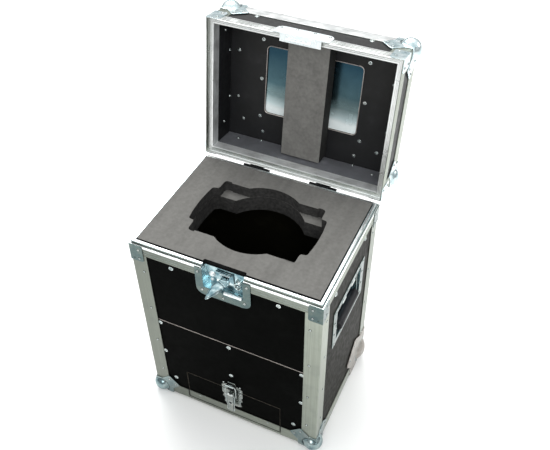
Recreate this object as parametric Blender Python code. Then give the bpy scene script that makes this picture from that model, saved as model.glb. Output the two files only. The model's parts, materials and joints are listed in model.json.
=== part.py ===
"""Flight case for a small moving head light, with its hinged lid open.

Black laminated plywood panels sit in aluminium edge angles and a tongue-and-groove rim.
The body holds layers of foam cut to the light's outline, over a deep well for its head.
A shelf closes the well, and a flap below it opens an accessory bay.

Units are metres, +X is the case's right, -Y its front and +Z up.
z = 0 is the underside of the base panel; the case stands on ball corners a little lower.
"""
import math

import bmesh
import bpy
from mathutils import Matrix, Vector

MM = 0.001

# ---- driving dimensions -------------------------------------------------------------------
WIDTH = 400 * MM            # over the aluminium, left to right
DEPTH = 299 * MM            # over the aluminium, front to back
BODY_HEIGHT = 478 * MM      # bottom angles to the rim's shoulder, where the lid meets the body
LID_HEIGHT = 102 * MM
PANEL = 9 * MM              # plywood thickness
SHEET = 1.5 * MM            # aluminium angles and zinc hardware
GAP = 0.3 * MM              # clearance between pieces that touch on the real case
LEG = 34 * MM               # leg of an edge angle
RIM_LEG = 25 * MM           # outer leg of the rim extrusions
TONGUE = 5.6 * MM           # how far the body's tongue stands above its shoulder
RIM_SEAT = 3 * MM           # how far the tongue's foot reaches down over the panels' edges
LID_OPEN_ANGLE = 99.0       # degrees from closed, held by the stop hinges

# ---- derived frame ------------------------------------------------------------------------
HALF_W = WIDTH / 2
HALF_D = DEPTH / 2
BOTTOM = -(SHEET + GAP)
RIM = BOTTOM + BODY_HEIGHT
TOP = RIM + LID_HEIGHT
SKIN = SHEET + GAP          # inset of a panel's outer face from the case's outer face
CORE = SKIN + PANEL         # inset of a panel's inner face
INNER_W = HALF_W - CORE
INNER_D = HALF_D - CORE
BASE_TOP = PANEL

# ---- hinge, latch, handle, hatch and foam sizes --------------------------------------------
HINGE_OFFSET = 4.9 * MM     # axis behind the case's back face
HINGE_RAISE = 0.2 * MM      # axis above the shoulder
KNUCKLE_R = 3.4 * MM
HINGE_X = 76 * MM           # middle of each hinge
HINGE_HALF = 30 * MM
KNUCKLE_HALF = 15.6 * MM    # the lid leaf's middle knuckle
LEAF_DROP = 44 * MM
HINGE_SLOT = 34 * MM          # half of the slot in the body's tongue

DISH_HALF = 42 * MM         # latch dish opening
DISH_FLOOR = 425.5 * MM
DISH_DEPTH = 13 * MM        # back wall behind the case's front face
DISH_WALL = 1.2 * MM
FITTING = DISH_WALL + 2 * GAP  # a board's cut-out round a pressed cup
FLANGE_HALF = 58 * MM
FLANGE_LOW = 403 * MM
FLANGE_TOP = 474 * MM
KNOB_Z = 454.5 * MM
KNOB_TURN = 233.0           # direction of the lower wing, degrees from +X towards +Z
WING_RAISE = 20.0           # degrees
WING_REACH = 48 * MM
WING_ROOT = 3 * MM          # fold axis from the knob's middle
WING_STAND = 3.9 * MM       # fold axis in front of the case's front face
HOOK_Y = -138.75 * MM
HOOK_CURL = 3.75 * MM       # the curled tip in front of the hook's middle
HOOK_FOOT = 440 * MM
HOOK_TIP = 470 * MM

HANDLE_HALF = 85 * MM       # handle plate, front to back
HANDLE_LOW = 280.2 * MM
HANDLE_TOP = 389.2 * MM
CUP_HALF = 66 * MM          # the cup in it
CUP_LOW = 294.2 * MM
CUP_TOP = 375.8 * MM
CUP_DEPTH = 15.8 * MM
BAIL_Z = 368 * MM
BAIL_INSET = 7 * MM         # rod behind the case's side face
GRIP_Z = 313 * MM
GRIP_INSET = 4.5 * MM
GRIP_R = 10.5 * MM
GRIP_HALF = 50 * MM
ROD_R = 2.5 * MM

HATCH_HALF = 114.5 * MM     # opening in the cover
HATCH_TOP = 100.7 * MM
HATCH_GAP = 0.8 * MM
HATCH_LOW = 12 * MM         # lower edge of the flap's board
SILL_STRIP_LOW = 10.4 * MM
SILL_LIP = 7.2 * MM         # height of the bottom angle's lip under the hatch
FLAP_Z = 8.9 * MM           # hatch hinge axis
FLAP_INSET = 0.7 * MM       # and its inset from the case's front face
FLAP_PIN_R = 0.8 * MM
JOIN_Z = 262.5 * MM         # joint between the upper front panel and the lower cover
JOIN_HALF = 1.2 * MM

LEVER_Z = 97 * MM           # catch lever's pivot
LEVER_STAND = 6.5 * MM      # pivot in front of the case's front face
LOOP_Z = 88 * MM            # loop's pivot on the lever
LOOP_TOP = 129.5 * MM
LOOP_HALF = 12.5 * MM
WIRE_R = 1.1 * MM

SHELF_Z = 109 * MM          # underside of the shelf
PAD = 20 * MM               # foam pad on the shelf
FOAM_PROUD = 8 * MM         # foam above the rim's shoulder
FOAM_TOP_LAYER = 24 * MM
FOAM_LOWER = 36 * MM
FOAM_NOTCH_HALF = 44.5 * MM
FOAM_NOTCH_Y = -133.5 * MM

CUT_Y = 2 * MM              # middle of the cut-out
CUT_CIRCLE = 95 * MM
CUT_SIDE = 130.4 * MM
CUT_SIDE_BULGE_R = 290 * MM
CUT_SIDE_HALF = 46 * MM
CUT_BASE_X = 112.5 * MM
CUT_BASE_Y = 77 * MM
CUT_EAR = 3 * MM
CUT_BAND_Y = 55.5 * MM

BALL_STAND = 7.5 * MM       # how far every ball reaches below the bottom angles
BALL_R = 21 * MM
BALL_INSET = 13.5 * MM      # ball's middle from the case's side faces
BALL_ARM = 42 * MM          # reach of a wing along the case's edges
BALL_LOBE = 60 * MM         # reach of the lobe between its arms
HEEL_R = 36 * MM            # the larger corners at the bottom of the back
HEEL_INSET = 23 * MM
HEEL_ARM = 90 * MM
HEEL_LOBE = 114 * MM

LABEL_HALF = 105 * MM       # opening in the lid's top
LABEL_FRONT = -82 * MM
LABEL_BACK = 70 * MM
LID_FOAM_HALF = 44 * MM
LID_FOAM_THICK = 39 * MM

FINISHES = {                # base colour, roughness, metallic
    "laminate": ((0.012, 0.012, 0.012), 0.45, 0.0),
    "aluminium": ((0.66, 0.67, 0.64), 0.35, 1.0),
    "zinc": ((0.50, 0.60, 0.62), 0.30, 1.0),
    "foam_grey": ((0.26, 0.25, 0.24), 0.95, 0.0),
    "foam_dark": ((0.05, 0.05, 0.05), 0.95, 0.0),
    "rubber": ((0.015, 0.015, 0.018), 0.55, 0.0),
}


# ---- helpers -------------------------------------------------------------------------------
def clear_scene():
    for item in list(bpy.data.objects):
        bpy.data.objects.remove(item, do_unlink=True)


def finish(name, kind):
    colour, roughness, metallic = FINISHES[kind]
    material = bpy.data.materials.new(name + "_finish")
    material.use_nodes = True
    shader = material.node_tree.nodes["Principled BSDF"]
    shader.inputs["Base Color"].default_value = (*colour, 1.0)
    shader.inputs["Roughness"].default_value = roughness
    shader.inputs["Metallic"].default_value = metallic
    material.diffuse_color = (*colour, 1.0)
    return material


def add_object(name, mesh, kind):
    item = bpy.data.objects.new(name, mesh)
    bpy.context.scene.collection.objects.link(item)
    item.data.materials.append(finish(name, kind))
    return item


def from_bmesh(name, bm, kind):
    bmesh.ops.recalc_face_normals(bm, faces=bm.faces)
    mesh = bpy.data.meshes.new(name)
    bm.to_mesh(mesh)
    bm.free()
    return add_object(name, mesh, kind)


def box(name, low, high, kind):
    bm = bmesh.new()
    bmesh.ops.create_cube(bm, size=1.0)
    low, high = Vector(low), Vector(high)
    size = high - low
    bmesh.ops.scale(bm, vec=size, verts=bm.verts)
    bmesh.ops.translate(bm, vec=(low + high) / 2, verts=bm.verts)
    return from_bmesh(name, bm, kind)


def lift(point, axis, along):
    """A 2D outline point in space: the outline's plane is normal to the axis."""
    first, second = point
    if axis == "x":
        return (along, first, second)
    if axis == "y":
        return (first, along, second)
    return (first, second, along)


def prism(name, outline, axis, start, end, kind):
    bm = bmesh.new()
    near = [bm.verts.new(lift(point, axis, start)) for point in outline]
    far = [bm.verts.new(lift(point, axis, end)) for point in outline]
    bm.faces.new(near)
    bm.faces.new(far)
    for i, vert in enumerate(near):
        j = (i + 1) % len(near)
        bm.faces.new((vert, near[j], far[j], far[i]))
    return from_bmesh(name, bm, kind)


def ring(name, profile, kind):
    """A mitred frame round the case from a closed profile of (inset, height) points."""
    bm = bmesh.new()
    corners = ((-1, -1), (1, -1), (1, 1), (-1, 1))
    loops = []
    for sx, sy in corners:
        loops.append([bm.verts.new((sx * (HALF_W - inset), sy * (HALF_D - inset), z))
                      for inset, z in profile])
    for c in range(4):
        here, there = loops[c], loops[(c + 1) % 4]
        for i in range(len(profile)):
            j = (i + 1) % len(profile)
            bm.faces.new((here[i], here[j], there[j], there[i]))
    return from_bmesh(name, bm, kind)


def lathe(name, profile, origin, axis, kind, segments=20):
    """A turned body from (distance along the axis, radius) points, with its axis on X or Y."""
    bm = bmesh.new()
    rows = []
    for along, radius in profile:
        steps = 1 if radius == 0 else segments
        row = []
        for k in range(steps):
            turn = 2 * math.pi * k / segments
            side = (radius * math.cos(turn), radius * math.sin(turn))
            row.append(bm.verts.new(Vector(origin) + Vector(lift(side, axis, along))))
        rows.append(row)
    closed = profile[0][1] > 0
    pairs = zip(rows, rows[1:] + rows[:1]) if closed else zip(rows, rows[1:])
    for first, second in pairs:
        for k in range(segments):
            n = (k + 1) % segments
            face = [first[k % len(first)], first[n % len(first)],
                    second[n % len(second)], second[k % len(second)]]
            unique = list(dict.fromkeys(face))
            bm.faces.new(unique)
    item = from_bmesh(name, bm, kind)
    item.data.shade_smooth()
    item.data.set_sharp_from_angle(angle=math.radians(35))
    return item


def hide_tool(tool, target):
    tool.parent = target
    tool.hide_render = True
    tool.display_type = "WIRE"


def combine(target, tool, operation):
    step = target.modifiers.new(operation.lower(), "BOOLEAN")
    step.operation = operation
    step.solver = "EXACT"
    step.object = tool
    hide_tool(tool, target)


def cut(target, tool):
    combine(target, tool, "DIFFERENCE")


def weld(target, tool):
    combine(target, tool, "UNION")


def cut_box(target, low, high):
    cut(target, box(target.name + "_cut", low, high, "zinc"))


def weld_box(target, low, high):
    weld(target, box(target.name + "_add", low, high, "zinc"))


def arc(centre, radius, start, end, steps):
    points = []
    for k in range(steps + 1):
        turn = math.radians(start + (end - start) * k / steps)
        points.append((centre[0] + radius * math.cos(turn), centre[1] + radius * math.sin(turn)))
    return points


def rounded(low, high, radius, steps=4):
    """A rectangle with rounded corners, anticlockwise."""
    (x0, y0), (x1, y1) = low, high
    return (arc((x1 - radius, y0 + radius), radius, -90, 0, steps)
            + arc((x1 - radius, y1 - radius), radius, 0, 90, steps)
            + arc((x0 + radius, y1 - radius), radius, 90, 180, steps)
            + arc((x0 + radius, y0 + radius), radius, 180, 270, steps))


def pivot(name, location, turn=None, parent=None):
    """An empty on a joint's axis; what it carries is modelled where it lies before the turn."""
    empty = bpy.data.objects.new(name, None)
    bpy.context.scene.collection.objects.link(empty)
    empty.location = location
    if turn is not None:
        empty.rotation_euler = turn.to_euler()
    empty.parent = parent
    return empty


def hang(item, holder):
    item.parent = holder
    item.location = -Vector(holder.location)
    return item


# ---- body shell ----------------------------------------------------------------------------
def build_base_panel():
    """The base, relieved along its edges where the bottom angles lie."""
    base = box("base_panel", (-HALF_W + SKIN, -HALF_D + SKIN, GAP), (HALF_W - SKIN, HALF_D - SKIN, PANEL),
               "laminate")
    x, y, chamfer = HALF_W - LEG - GAP, HALF_D - LEG - GAP, 8 * MM
    outline = [(x - chamfer, -y), (x, -y + chamfer), (x, y - chamfer), (x - chamfer, y)]
    outline += [(-u, v) for u, v in reversed(outline)]
    weld(base, prism("base_underside", outline, "z", 0, PANEL / 2, "laminate"))


def build_panels():
    low, high = BASE_TOP + GAP, RIM - RIM_SEAT - GAP
    for name, side in (("left_panel", -1), ("right_panel", 1)):
        ends = sorted((side * (HALF_W - SKIN), side * INNER_W))
        panel = box(name, (ends[0], -HALF_D + SKIN, low), (ends[1], HALF_D - SKIN, high), "laminate")
        cut_box(panel, (ends[0] - MM, -CUP_HALF - FITTING, CUP_LOW - FITTING),
                (ends[1] + MM, CUP_HALF + FITTING, CUP_TOP + FITTING))
    across = INNER_W - GAP
    box("back_panel", (-across, INNER_D, low), (across, HALF_D - SKIN, high), "laminate")
    front = box("front_panel", (-across, -HALF_D + SKIN, JOIN_Z + JOIN_HALF + GAP),
                (across, -INNER_D, high), "laminate")
    notch = DISH_HALF + FITTING
    cut_box(front, (-notch, -HALF_D, DISH_FLOOR - FITTING), (notch, 0, RIM))
    cover = box("front_cover", (-across, -HALF_D + SKIN, low),
                (across, -INNER_D, JOIN_Z - JOIN_HALF - GAP), "laminate")
    cut_box(cover, (-HATCH_HALF, -HALF_D, 0), (HATCH_HALF, 0, HATCH_TOP))
    box("joining_strip", (-across, -HALF_D + SKIN, JOIN_Z - JOIN_HALF),
        (across, -INNER_D, JOIN_Z + JOIN_HALF), "aluminium")
    box("divider_shelf", (-across, -INNER_D + GAP, SHELF_Z), (across, INNER_D - GAP, SHELF_Z + PANEL),
        "laminate")


def angle_outline(su, sv):
    """An edge angle's section with its outer corner at the origin, legs towards -su and -sv."""
    points = [(0, 0), (-LEG, 0), (-LEG, -SHEET), (-SHEET, -SHEET), (-SHEET, -LEG), (0, -LEG)]
    return [(u * su, v * sv) for u, v in points]


def shifted(outline, du, dv):
    return [(u + du, v + dv) for u, v in outline]


def build_angles():
    low, high = BOTTOM + LEG + GAP, RIM - RIM_LEG - GAP
    for side, sx in (("left", -1), ("right", 1)):
        for end, sy in (("front", -1), ("back", 1)):
            outline = shifted(angle_outline(sx, sy), sx * HALF_W, sy * HALF_D)
            prism("corner_angle_%s_%s" % (end, side), outline, "z", low, high, "aluminium")
        outline = shifted(angle_outline(sx, -1), sx * HALF_W, BOTTOM)
        reach = HALF_D - LEG - GAP
        prism("bottom_angle_" + side, outline, "y", -reach, reach, "aluminium")
    for end, sy in (("front", -1), ("back", 1)):
        outline = shifted(angle_outline(sy, -1), sy * HALF_D, BOTTOM)
        bar = prism("bottom_angle_" + end, outline, "x", -HALF_W, HALF_W, "aluminium")
        if end == "front":
            cut_box(bar, (-HATCH_HALF, -HALF_D - MM, SILL_LIP), (HATCH_HALF, -HALF_D + SKIN, LEG + MM))


def build_rim():
    inner = CORE - 0.9 * MM
    shoulder = 2 * MM
    profile = [(0, RIM - RIM_LEG), (0, RIM), (shoulder, RIM), (shoulder, RIM + TONGUE),
               (inner, RIM + TONGUE), (inner, RIM - RIM_SEAT), (SHEET, RIM - RIM_SEAT),
               (SHEET, RIM - RIM_LEG)]
    rim = ring("body_rim", profile, "aluminium")
    notch, above = DISH_HALF + FITTING, RIM + 2 * TONGUE
    cut_box(rim, (-notch, -HALF_D - MM, RIM - 2 * RIM_LEG), (notch, -INNER_D + MM, above))
    for side in (-1, 1):
        ends = sorted((side * (HINGE_X - HINGE_SLOT), side * (HINGE_X + HINGE_SLOT)))
        cut_box(rim, (ends[0], INNER_D - MM, RIM + 0.2 * MM), (ends[1], HALF_D + MM, above))


def ball_corner_mesh(radius, inset, arm, lobe):
    """A ball corner on the corner of a box that fills the negative octant."""
    out, shoulder, slope = SKIN, 0.36 * arm, 0.6 * lobe
    outline = [(out, out), (out, -arm), (-shoulder, -arm), (-slope, -lobe), (-lobe, -slope),
               (-arm, -shoulder), (-arm, out)]
    shell = prism("ball_shell", outline, "z", GAP, out, "zinc")
    for axis in ("x", "y"):
        weld(shell, prism("ball_wing_" + axis, outline, axis, GAP, out, "zinc"))
    bm = bmesh.new()
    bmesh.ops.create_uvsphere(bm, u_segments=16, v_segments=10, radius=radius)
    bmesh.ops.translate(bm, vec=(-inset, -inset, BALL_STAND - radius), verts=bm.verts)
    weld(shell, from_bmesh("ball", bm, "zinc"))
    far = -2 * lobe
    cut_box(shell, (far, far, far), (GAP, GAP, GAP))
    bpy.context.view_layer.update()
    graph = bpy.context.evaluated_depsgraph_get()
    mesh = bpy.data.meshes.new_from_object(shell.evaluated_get(graph))
    for item in [shell] + list(shell.children):
        bpy.data.objects.remove(item, do_unlink=True)
    return mesh


def place_ball_corners(front, back, prefix, z, sz, holder=None):
    for side, sx in (("left", -1), ("right", 1)):
        for end, sy, pattern in (("front", -1, front), ("back", 1, back)):
            bm = bmesh.new()
            bm.from_mesh(pattern)
            bmesh.ops.scale(bm, vec=(sx, sy, sz), verts=bm.verts)
            bmesh.ops.translate(bm, vec=(sx * HALF_W, sy * HALF_D, z), verts=bm.verts)
            corner = from_bmesh("%s_ball_corner_%s_%s" % (prefix, end, side), bm, "zinc")
            if holder:
                hang(corner, holder)


# ---- foam ----------------------------------------------------------------------------------
def mirrored(quarter):
    """A closed outline from its first quarter, which runs from the +X side to the +Y side."""
    left = [(-x, y) for x, y in reversed(quarter)]
    back = quarter + left
    front = [(x, -y) for x, y in reversed(back)]
    points = [(x, y + CUT_Y) for x, y in back + front]
    return [p for i, p in enumerate(points) if math.dist(p, points[i - 1]) > 0.01 * MM]


def side_bulge():
    points = []
    for k in range(4):
        y = CUT_SIDE_HALF * k / 3
        sag = CUT_SIDE_BULGE_R - math.sqrt(CUT_SIDE_BULGE_R ** 2 - y ** 2)
        points.append((CUT_SIDE - sag, y))
    return points


def circle_from(y):
    start = math.degrees(math.asin(y / CUT_CIRCLE))
    return arc((0, 0), CUT_CIRCLE, start, 90, 6)


def upper_outline():
    """Cut-out of the upper layer: the light's round head over its rectangular base."""
    shoulder = arc((121.5 * MM, CUT_SIDE_HALF), 5.2 * MM, 0, 90, 3)
    step = [(115 * MM, 52 * MM), (CUT_BASE_X + 0.5 * MM, 56 * MM)]
    ear_y = CUT_BASE_Y + CUT_EAR
    ear = arc((CUT_BASE_X - 7 * MM, ear_y - 7 * MM), 7 * MM, 0, 90, 3)
    notch = [(98 * MM, ear_y), (95.5 * MM, CUT_BASE_Y)]
    return mirrored(side_bulge() + shoulder + step + ear + notch + circle_from(CUT_BASE_Y))


def lower_outline():
    """Cut-out of the lower layers, which leaves ledges under the corners of the light's base."""
    shoulder = arc((121.5 * MM, CUT_SIDE_HALF), 5.2 * MM, 0, 90, 3)
    return mirrored(side_bulge() + shoulder + [(117 * MM, CUT_BAND_Y)] + circle_from(CUT_BAND_Y))


def foam_sheet(name, low, high, kind, cutout):
    x, y = INNER_W - GAP, INNER_D - GAP
    slot = FOAM_NOTCH_HALF
    outline = [(-x, -y), (-slot, -y), (-slot, FOAM_NOTCH_Y), (slot, FOAM_NOTCH_Y), (slot, -y),
               (x, -y), (x, y), (-x, y)]
    sheet = prism(name, outline, "z", low, high, kind)
    cut(sheet, prism(name + "_cut", cutout, "z", low - MM, high + MM, kind))


def build_foam():
    top = RIM + FOAM_PROUD
    split = top - FOAM_TOP_LAYER
    foam_sheet("foam_top", split, top, "foam_grey", upper_outline())
    foam_sheet("foam_lower", split - GAP - FOAM_LOWER, split - GAP, "foam_dark", lower_outline())
    x, y = INNER_W - GAP, INNER_D - GAP
    floor = SHELF_Z + PANEL + GAP
    box("foam_base", (-x, -y, floor), (x, y, floor + PAD), "foam_dark")


# ---- butterfly latch -----------------------------------------------------------------------
def flange_outline(half, low, high):
    radius = 17 * MM
    return ([(-half, high)] + arc((-half + radius, low + radius), radius, 180, 270, 4)
            + arc((half - radius, low + radius), radius, 270, 360, 4) + [(half, high)])


def build_latch_dish():
    face = -HALF_D - GAP
    back = -HALF_D + DISH_DEPTH
    dish = prism("latch_dish", flange_outline(FLANGE_HALF, FLANGE_LOW, FLANGE_TOP), "y",
                 face - SHEET, face, "zinc")
    wall = DISH_HALF + DISH_WALL
    weld_box(dish, (-wall, face - SHEET / 2, DISH_FLOOR - DISH_WALL), (wall, back + DISH_WALL, FLANGE_TOP))
    cut_box(dish, (-DISH_HALF, face - 10 * MM, DISH_FLOOR), (DISH_HALF, back, FLANGE_TOP + 10 * MM))


def build_knob():
    holder = pivot("latch_pivot", (0, -HALF_D, KNOB_Z))
    back = -HALF_D + DISH_DEPTH - GAP
    disc, front, head = back - 6.2 * MM, back - 10.7 * MM, -HALF_D - 2.7 * MM
    profile = [(back, 0), (back, 4 * MM), (disc, 4 * MM), (disc, 7 * MM), (front, 7 * MM),
               (front, 5 * MM), (head, 5 * MM), (head, 0)]
    hang(lathe("latch_knob", profile, (0, 0, KNOB_Z), "y", "zinc"), holder)
    return holder


def build_wing(name, direction, holder):
    """A wing of the butterfly handle: modelled flat along +X, then raised and turned."""
    turn = Matrix.Rotation(math.radians(-direction), 4, "Y")
    raised = turn @ Matrix.Rotation(math.radians(-WING_RAISE), 4, "Z")
    root = turn @ Vector((WING_ROOT, 0, 0))
    hinge = pivot(name + "_pivot", root + Vector((0, -WING_STAND, 0)), raised, holder)
    reach = WING_REACH - WING_ROOT
    outline = [(0, -8 * MM), (9 * MM, -10.5 * MM), (22 * MM, -8 * MM)]
    outline += arc((reach - 6 * MM, 0), 6 * MM, -75, 75, 5)
    outline += [(22 * MM, 8 * MM), (9 * MM, 10.5 * MM), (0, 8 * MM)]
    wing = prism(name, outline, "y", -0.8 * MM, 0.8 * MM, "zinc")
    wing.parent = hinge


def build_hook():
    holder = pivot("hook_pivot", (0, HOOK_Y, HOOK_FOOT))
    half, slot, arch = 18 * MM, 6 * MM, KNOB_Z + 5.5 * MM
    outline = [(-half, HOOK_FOOT), (-slot, HOOK_FOOT), (-slot, arch), (slot, arch),
               (slot, HOOK_FOOT), (half, HOOK_FOOT), (half, HOOK_TIP), (-half, HOOK_TIP)]
    hook = prism("latch_hook", outline, "y", HOOK_Y - SHEET / 2, HOOK_Y + SHEET / 2, "zinc")
    weld_box(hook, (-half, HOOK_Y - HOOK_CURL, HOOK_TIP - SHEET), (half, HOOK_Y, HOOK_TIP))
    hang(hook, holder)


# ---- side handles --------------------------------------------------------------------------
def build_handle(side, sx):
    face = HALF_W
    inner = face - CUP_DEPTH
    plate = rounded((-HANDLE_HALF, HANDLE_LOW), (HANDLE_HALF, HANDLE_TOP), 3 * MM, 2)
    spans = [sx * (face - SHEET), sx * face]
    dish = prism(side + "_handle_dish", plate, "x", min(spans), max(spans), "zinc")
    wall = DISH_WALL
    block = sorted((sx * (face - SHEET / 2), sx * (inner - wall)))
    weld_box(dish, (block[0], -CUP_HALF - wall, CUP_LOW - wall),
             (block[1], CUP_HALF + wall, CUP_TOP + wall))
    space = sorted((sx * (face + 10 * MM), sx * inner))
    cut_box(dish, (space[0], -CUP_HALF, CUP_LOW), (space[1], CUP_HALF, CUP_TOP))

    rod_x, grip_x = sx * (face - BAIL_INSET), sx * (face - GRIP_INSET)
    holder = pivot(side + "_handle_pivot", (rod_x, 0, BAIL_Z))
    bend, stub = GRIP_HALF + 7 * MM, CUP_HALF - 2 * MM
    route = [(rod_x, -stub, BAIL_Z), (rod_x, -bend, BAIL_Z), (grip_x, -bend, GRIP_Z),
             (grip_x, bend, GRIP_Z), (rod_x, bend, BAIL_Z), (rod_x, stub, BAIL_Z)]
    hang(wire(side + "_handle_bail", route, ROD_R, "zinc"), holder)
    bore, soft = ROD_R + GAP, 1.5 * MM
    profile = [(-GRIP_HALF, bore), (-GRIP_HALF, GRIP_R - soft), (-GRIP_HALF + soft, GRIP_R),
               (GRIP_HALF - soft, GRIP_R), (GRIP_HALF, GRIP_R - soft), (GRIP_HALF, bore)]
    hang(lathe(side + "_handle_grip", profile, (grip_x, 0, GRIP_Z), "y", "rubber"), holder)


def wire(name, route, radius, kind):
    """A bent rod of one closed tube along straight runs."""
    curve = bpy.data.curves.new(name, "CURVE")
    curve.dimensions = "3D"
    curve.bevel_depth = radius
    curve.bevel_resolution = 2
    curve.use_fill_caps = True
    spline = curve.splines.new("POLY")
    spline.points.add(len(route) - 1)
    for point, place in zip(spline.points, route):
        point.co = (*place, 1.0)
    item = bpy.data.objects.new(name, curve)
    bpy.context.scene.collection.objects.link(item)
    curve.materials.append(finish(name, kind))
    return item


# ---- accessory hatch -----------------------------------------------------------------------
def build_hatch():
    holder = pivot("hatch_pivot", (0, -HALF_D + FLAP_INSET, FLAP_Z))
    half = HATCH_HALF - HATCH_GAP
    panel = box("hatch_panel", (-half, -HALF_D + SKIN, HATCH_LOW), (half, -INNER_D, HATCH_TOP - HATCH_GAP),
                "laminate")
    strip = box("hatch_sill_strip", (-half, -HALF_D, SILL_STRIP_LOW),
                (half, -HALF_D + SHEET, BOTTOM + LEG), "aluminium")
    base = build_catch_base()
    for item in (panel, strip, base):
        hang(item, holder)
    box_length = half - MM
    profile = [(-box_length, 0), (-box_length, FLAP_PIN_R), (box_length, FLAP_PIN_R), (box_length, 0)]
    lathe("hatch_hinge_barrel", profile, (0, -HALF_D + FLAP_INSET, FLAP_Z), "x", "aluminium", 10)
    build_lever(holder)
    build_catch_keeper()


def build_catch_base():
    """Plate with two round ears and a pin between them for the lever."""
    face = -HALF_D + SKIN - GAP
    outline = [(-25 * MM, 99.5 * MM), (-25 * MM, 84 * MM), (-21.5 * MM, 79 * MM), (-24 * MM, 70 * MM),
               (-19 * MM, 62 * MM), (-21 * MM, 48 * MM), (-13 * MM, 44 * MM)]
    outline += [(-x, z) for x, z in reversed(outline)]
    base = prism("catch_base", outline, "y", face - 1.2 * MM, face, "zinc")
    axis_y = -HALF_D - LEVER_STAND
    ear = arc((axis_y, LEVER_Z), 2.6 * MM, 90, 270, 6)
    ear += [(face - 0.6 * MM, LEVER_Z - 6 * MM), (face - 0.6 * MM, LEVER_Z + 2.2 * MM)]
    for side in (-1, 1):
        ends = sorted((side * 3.3 * MM, side * 4.8 * MM))
        weld(base, prism("catch_ear", ear, "x", ends[0], ends[1], "zinc"))
    pin = arc((axis_y, LEVER_Z), 1.4 * MM, 0, 315, 7)
    weld(base, prism("catch_pin", pin, "x", -4 * MM, 4 * MM, "zinc"))
    return base


def build_lever(hatch):
    """The catch's lever, with its padlock hole, and the wire loop that it pulls down."""
    axis_y = -HALF_D - LEVER_STAND
    offset = Vector((0, axis_y, LEVER_Z)) - Vector(hatch.location)
    holder = pivot("lever_pivot", offset, parent=hatch)
    inner, outer = axis_y - 3.4 * MM, axis_y - 4.9 * MM
    outline = [(-3.5 * MM, LEVER_Z + 3 * MM), (-6.8 * MM, LEVER_Z), (-6.8 * MM, 82 * MM),
               (-10.5 * MM, 76 * MM), (-10.5 * MM, 46 * MM), (-6 * MM, 37 * MM)]
    outline += [(-x, z) for x, z in reversed(outline)]
    lever = prism("catch_lever", outline, "y", outer, inner, "zinc")
    for side in (-1, 1):
        ends = sorted((side * 5.1 * MM, side * 6.6 * MM))
        weld_box(lever, (ends[0], inner - 0.5 * MM, LOOP_Z - 4 * MM), (ends[1], axis_y + 1.5 * MM, LEVER_Z))
    cut_box(lever, (-5 * MM, outer - MM, 69 * MM), (5 * MM, inner + MM, 76 * MM))
    lever.parent = holder
    lever.location = -Vector((0, axis_y, LEVER_Z))
    swing = pivot("loop_pivot", (0, 0, LOOP_Z - LEVER_Z), parent=holder)
    stub = 7.0 * MM
    route = [(-stub, axis_y, LOOP_Z), (-LOOP_HALF, axis_y, LOOP_Z), (-LOOP_HALF, axis_y, LOOP_TOP),
             (LOOP_HALF, axis_y, LOOP_TOP), (LOOP_HALF, axis_y, LOOP_Z), (stub, axis_y, LOOP_Z)]
    loop = wire("catch_loop", route, WIRE_R, "zinc")
    loop.parent = swing
    loop.location = -Vector((0, axis_y, LOOP_Z))


def build_catch_keeper():
    """Plate on the cover above the hatch, with the hook that the loop pulls on."""
    face = -HALF_D + SKIN - GAP
    plate, lip = face - 1.2 * MM, -HALF_D - LEVER_STAND - 2.9 * MM
    low, top, seat = 102.2 * MM, LOOP_TOP + 0.4 * MM, LOOP_TOP - WIRE_R - 0.4 * MM
    under = seat - 1.4 * MM
    hook = [(face, low), (face, top), (plate, top), (plate, seat), (lip, seat), (lip, top),
            (lip - 1.2 * MM, top), (lip - 1.2 * MM, under), (plate, under), (plate, low)]
    keeper = prism("catch_keeper", hook, "x", -9 * MM, 9 * MM, "zinc")
    wide = 25 * MM
    outline = [(-wide, low), (wide, low), (wide, 112 * MM), (15 * MM, 119 * MM), (-15 * MM, 119 * MM),
               (-wide, 112 * MM)]
    weld(keeper, prism("catch_keeper_plate", outline, "y", plate, face, "zinc"))


# ---- stop hinges ---------------------------------------------------------------------------
def build_hinge(side, sx, lid):
    axis_y, axis_z = HALF_D + HINGE_OFFSET, RIM + HINGE_RAISE
    face = HALF_D + GAP
    clear = KNUCKLE_R + 0.4 * MM
    middle = sx * HINGE_X
    body = box("hinge_body_leaf_" + side, (middle - HINGE_HALF, face, RIM - LEAF_DROP),
               (middle + HINGE_HALF, face + SHEET, axis_z - clear), "zinc")
    for end in (-1, 1):
        x0, x1 = sorted((middle + end * HINGE_HALF, middle + end * (KNUCKLE_HALF + 0.4 * MM)))
        weld_box(body, (x0, face, axis_z - clear - MM), (x1, axis_y - MM, axis_z - 0.5 * MM))
        weld(body, prism("knuckle", arc((axis_y, axis_z), KNUCKLE_R, 0, 330, 11), "x", x0, x1, "zinc"))
    leaf = box("hinge_lid_leaf_" + side, (middle - HINGE_HALF, face, axis_z + clear),
               (middle + HINGE_HALF, face + SHEET, RIM + LEAF_DROP), "zinc")
    x0, x1 = middle - KNUCKLE_HALF, middle + KNUCKLE_HALF
    weld_box(leaf, (x0, face, axis_z + 0.5 * MM), (x1, axis_y - MM, axis_z + clear + MM))
    weld(leaf, prism("knuckle", arc((axis_y, axis_z), KNUCKLE_R, 0, 330, 11), "x", x0, x1, "zinc"))
    hang(leaf, lid)


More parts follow.
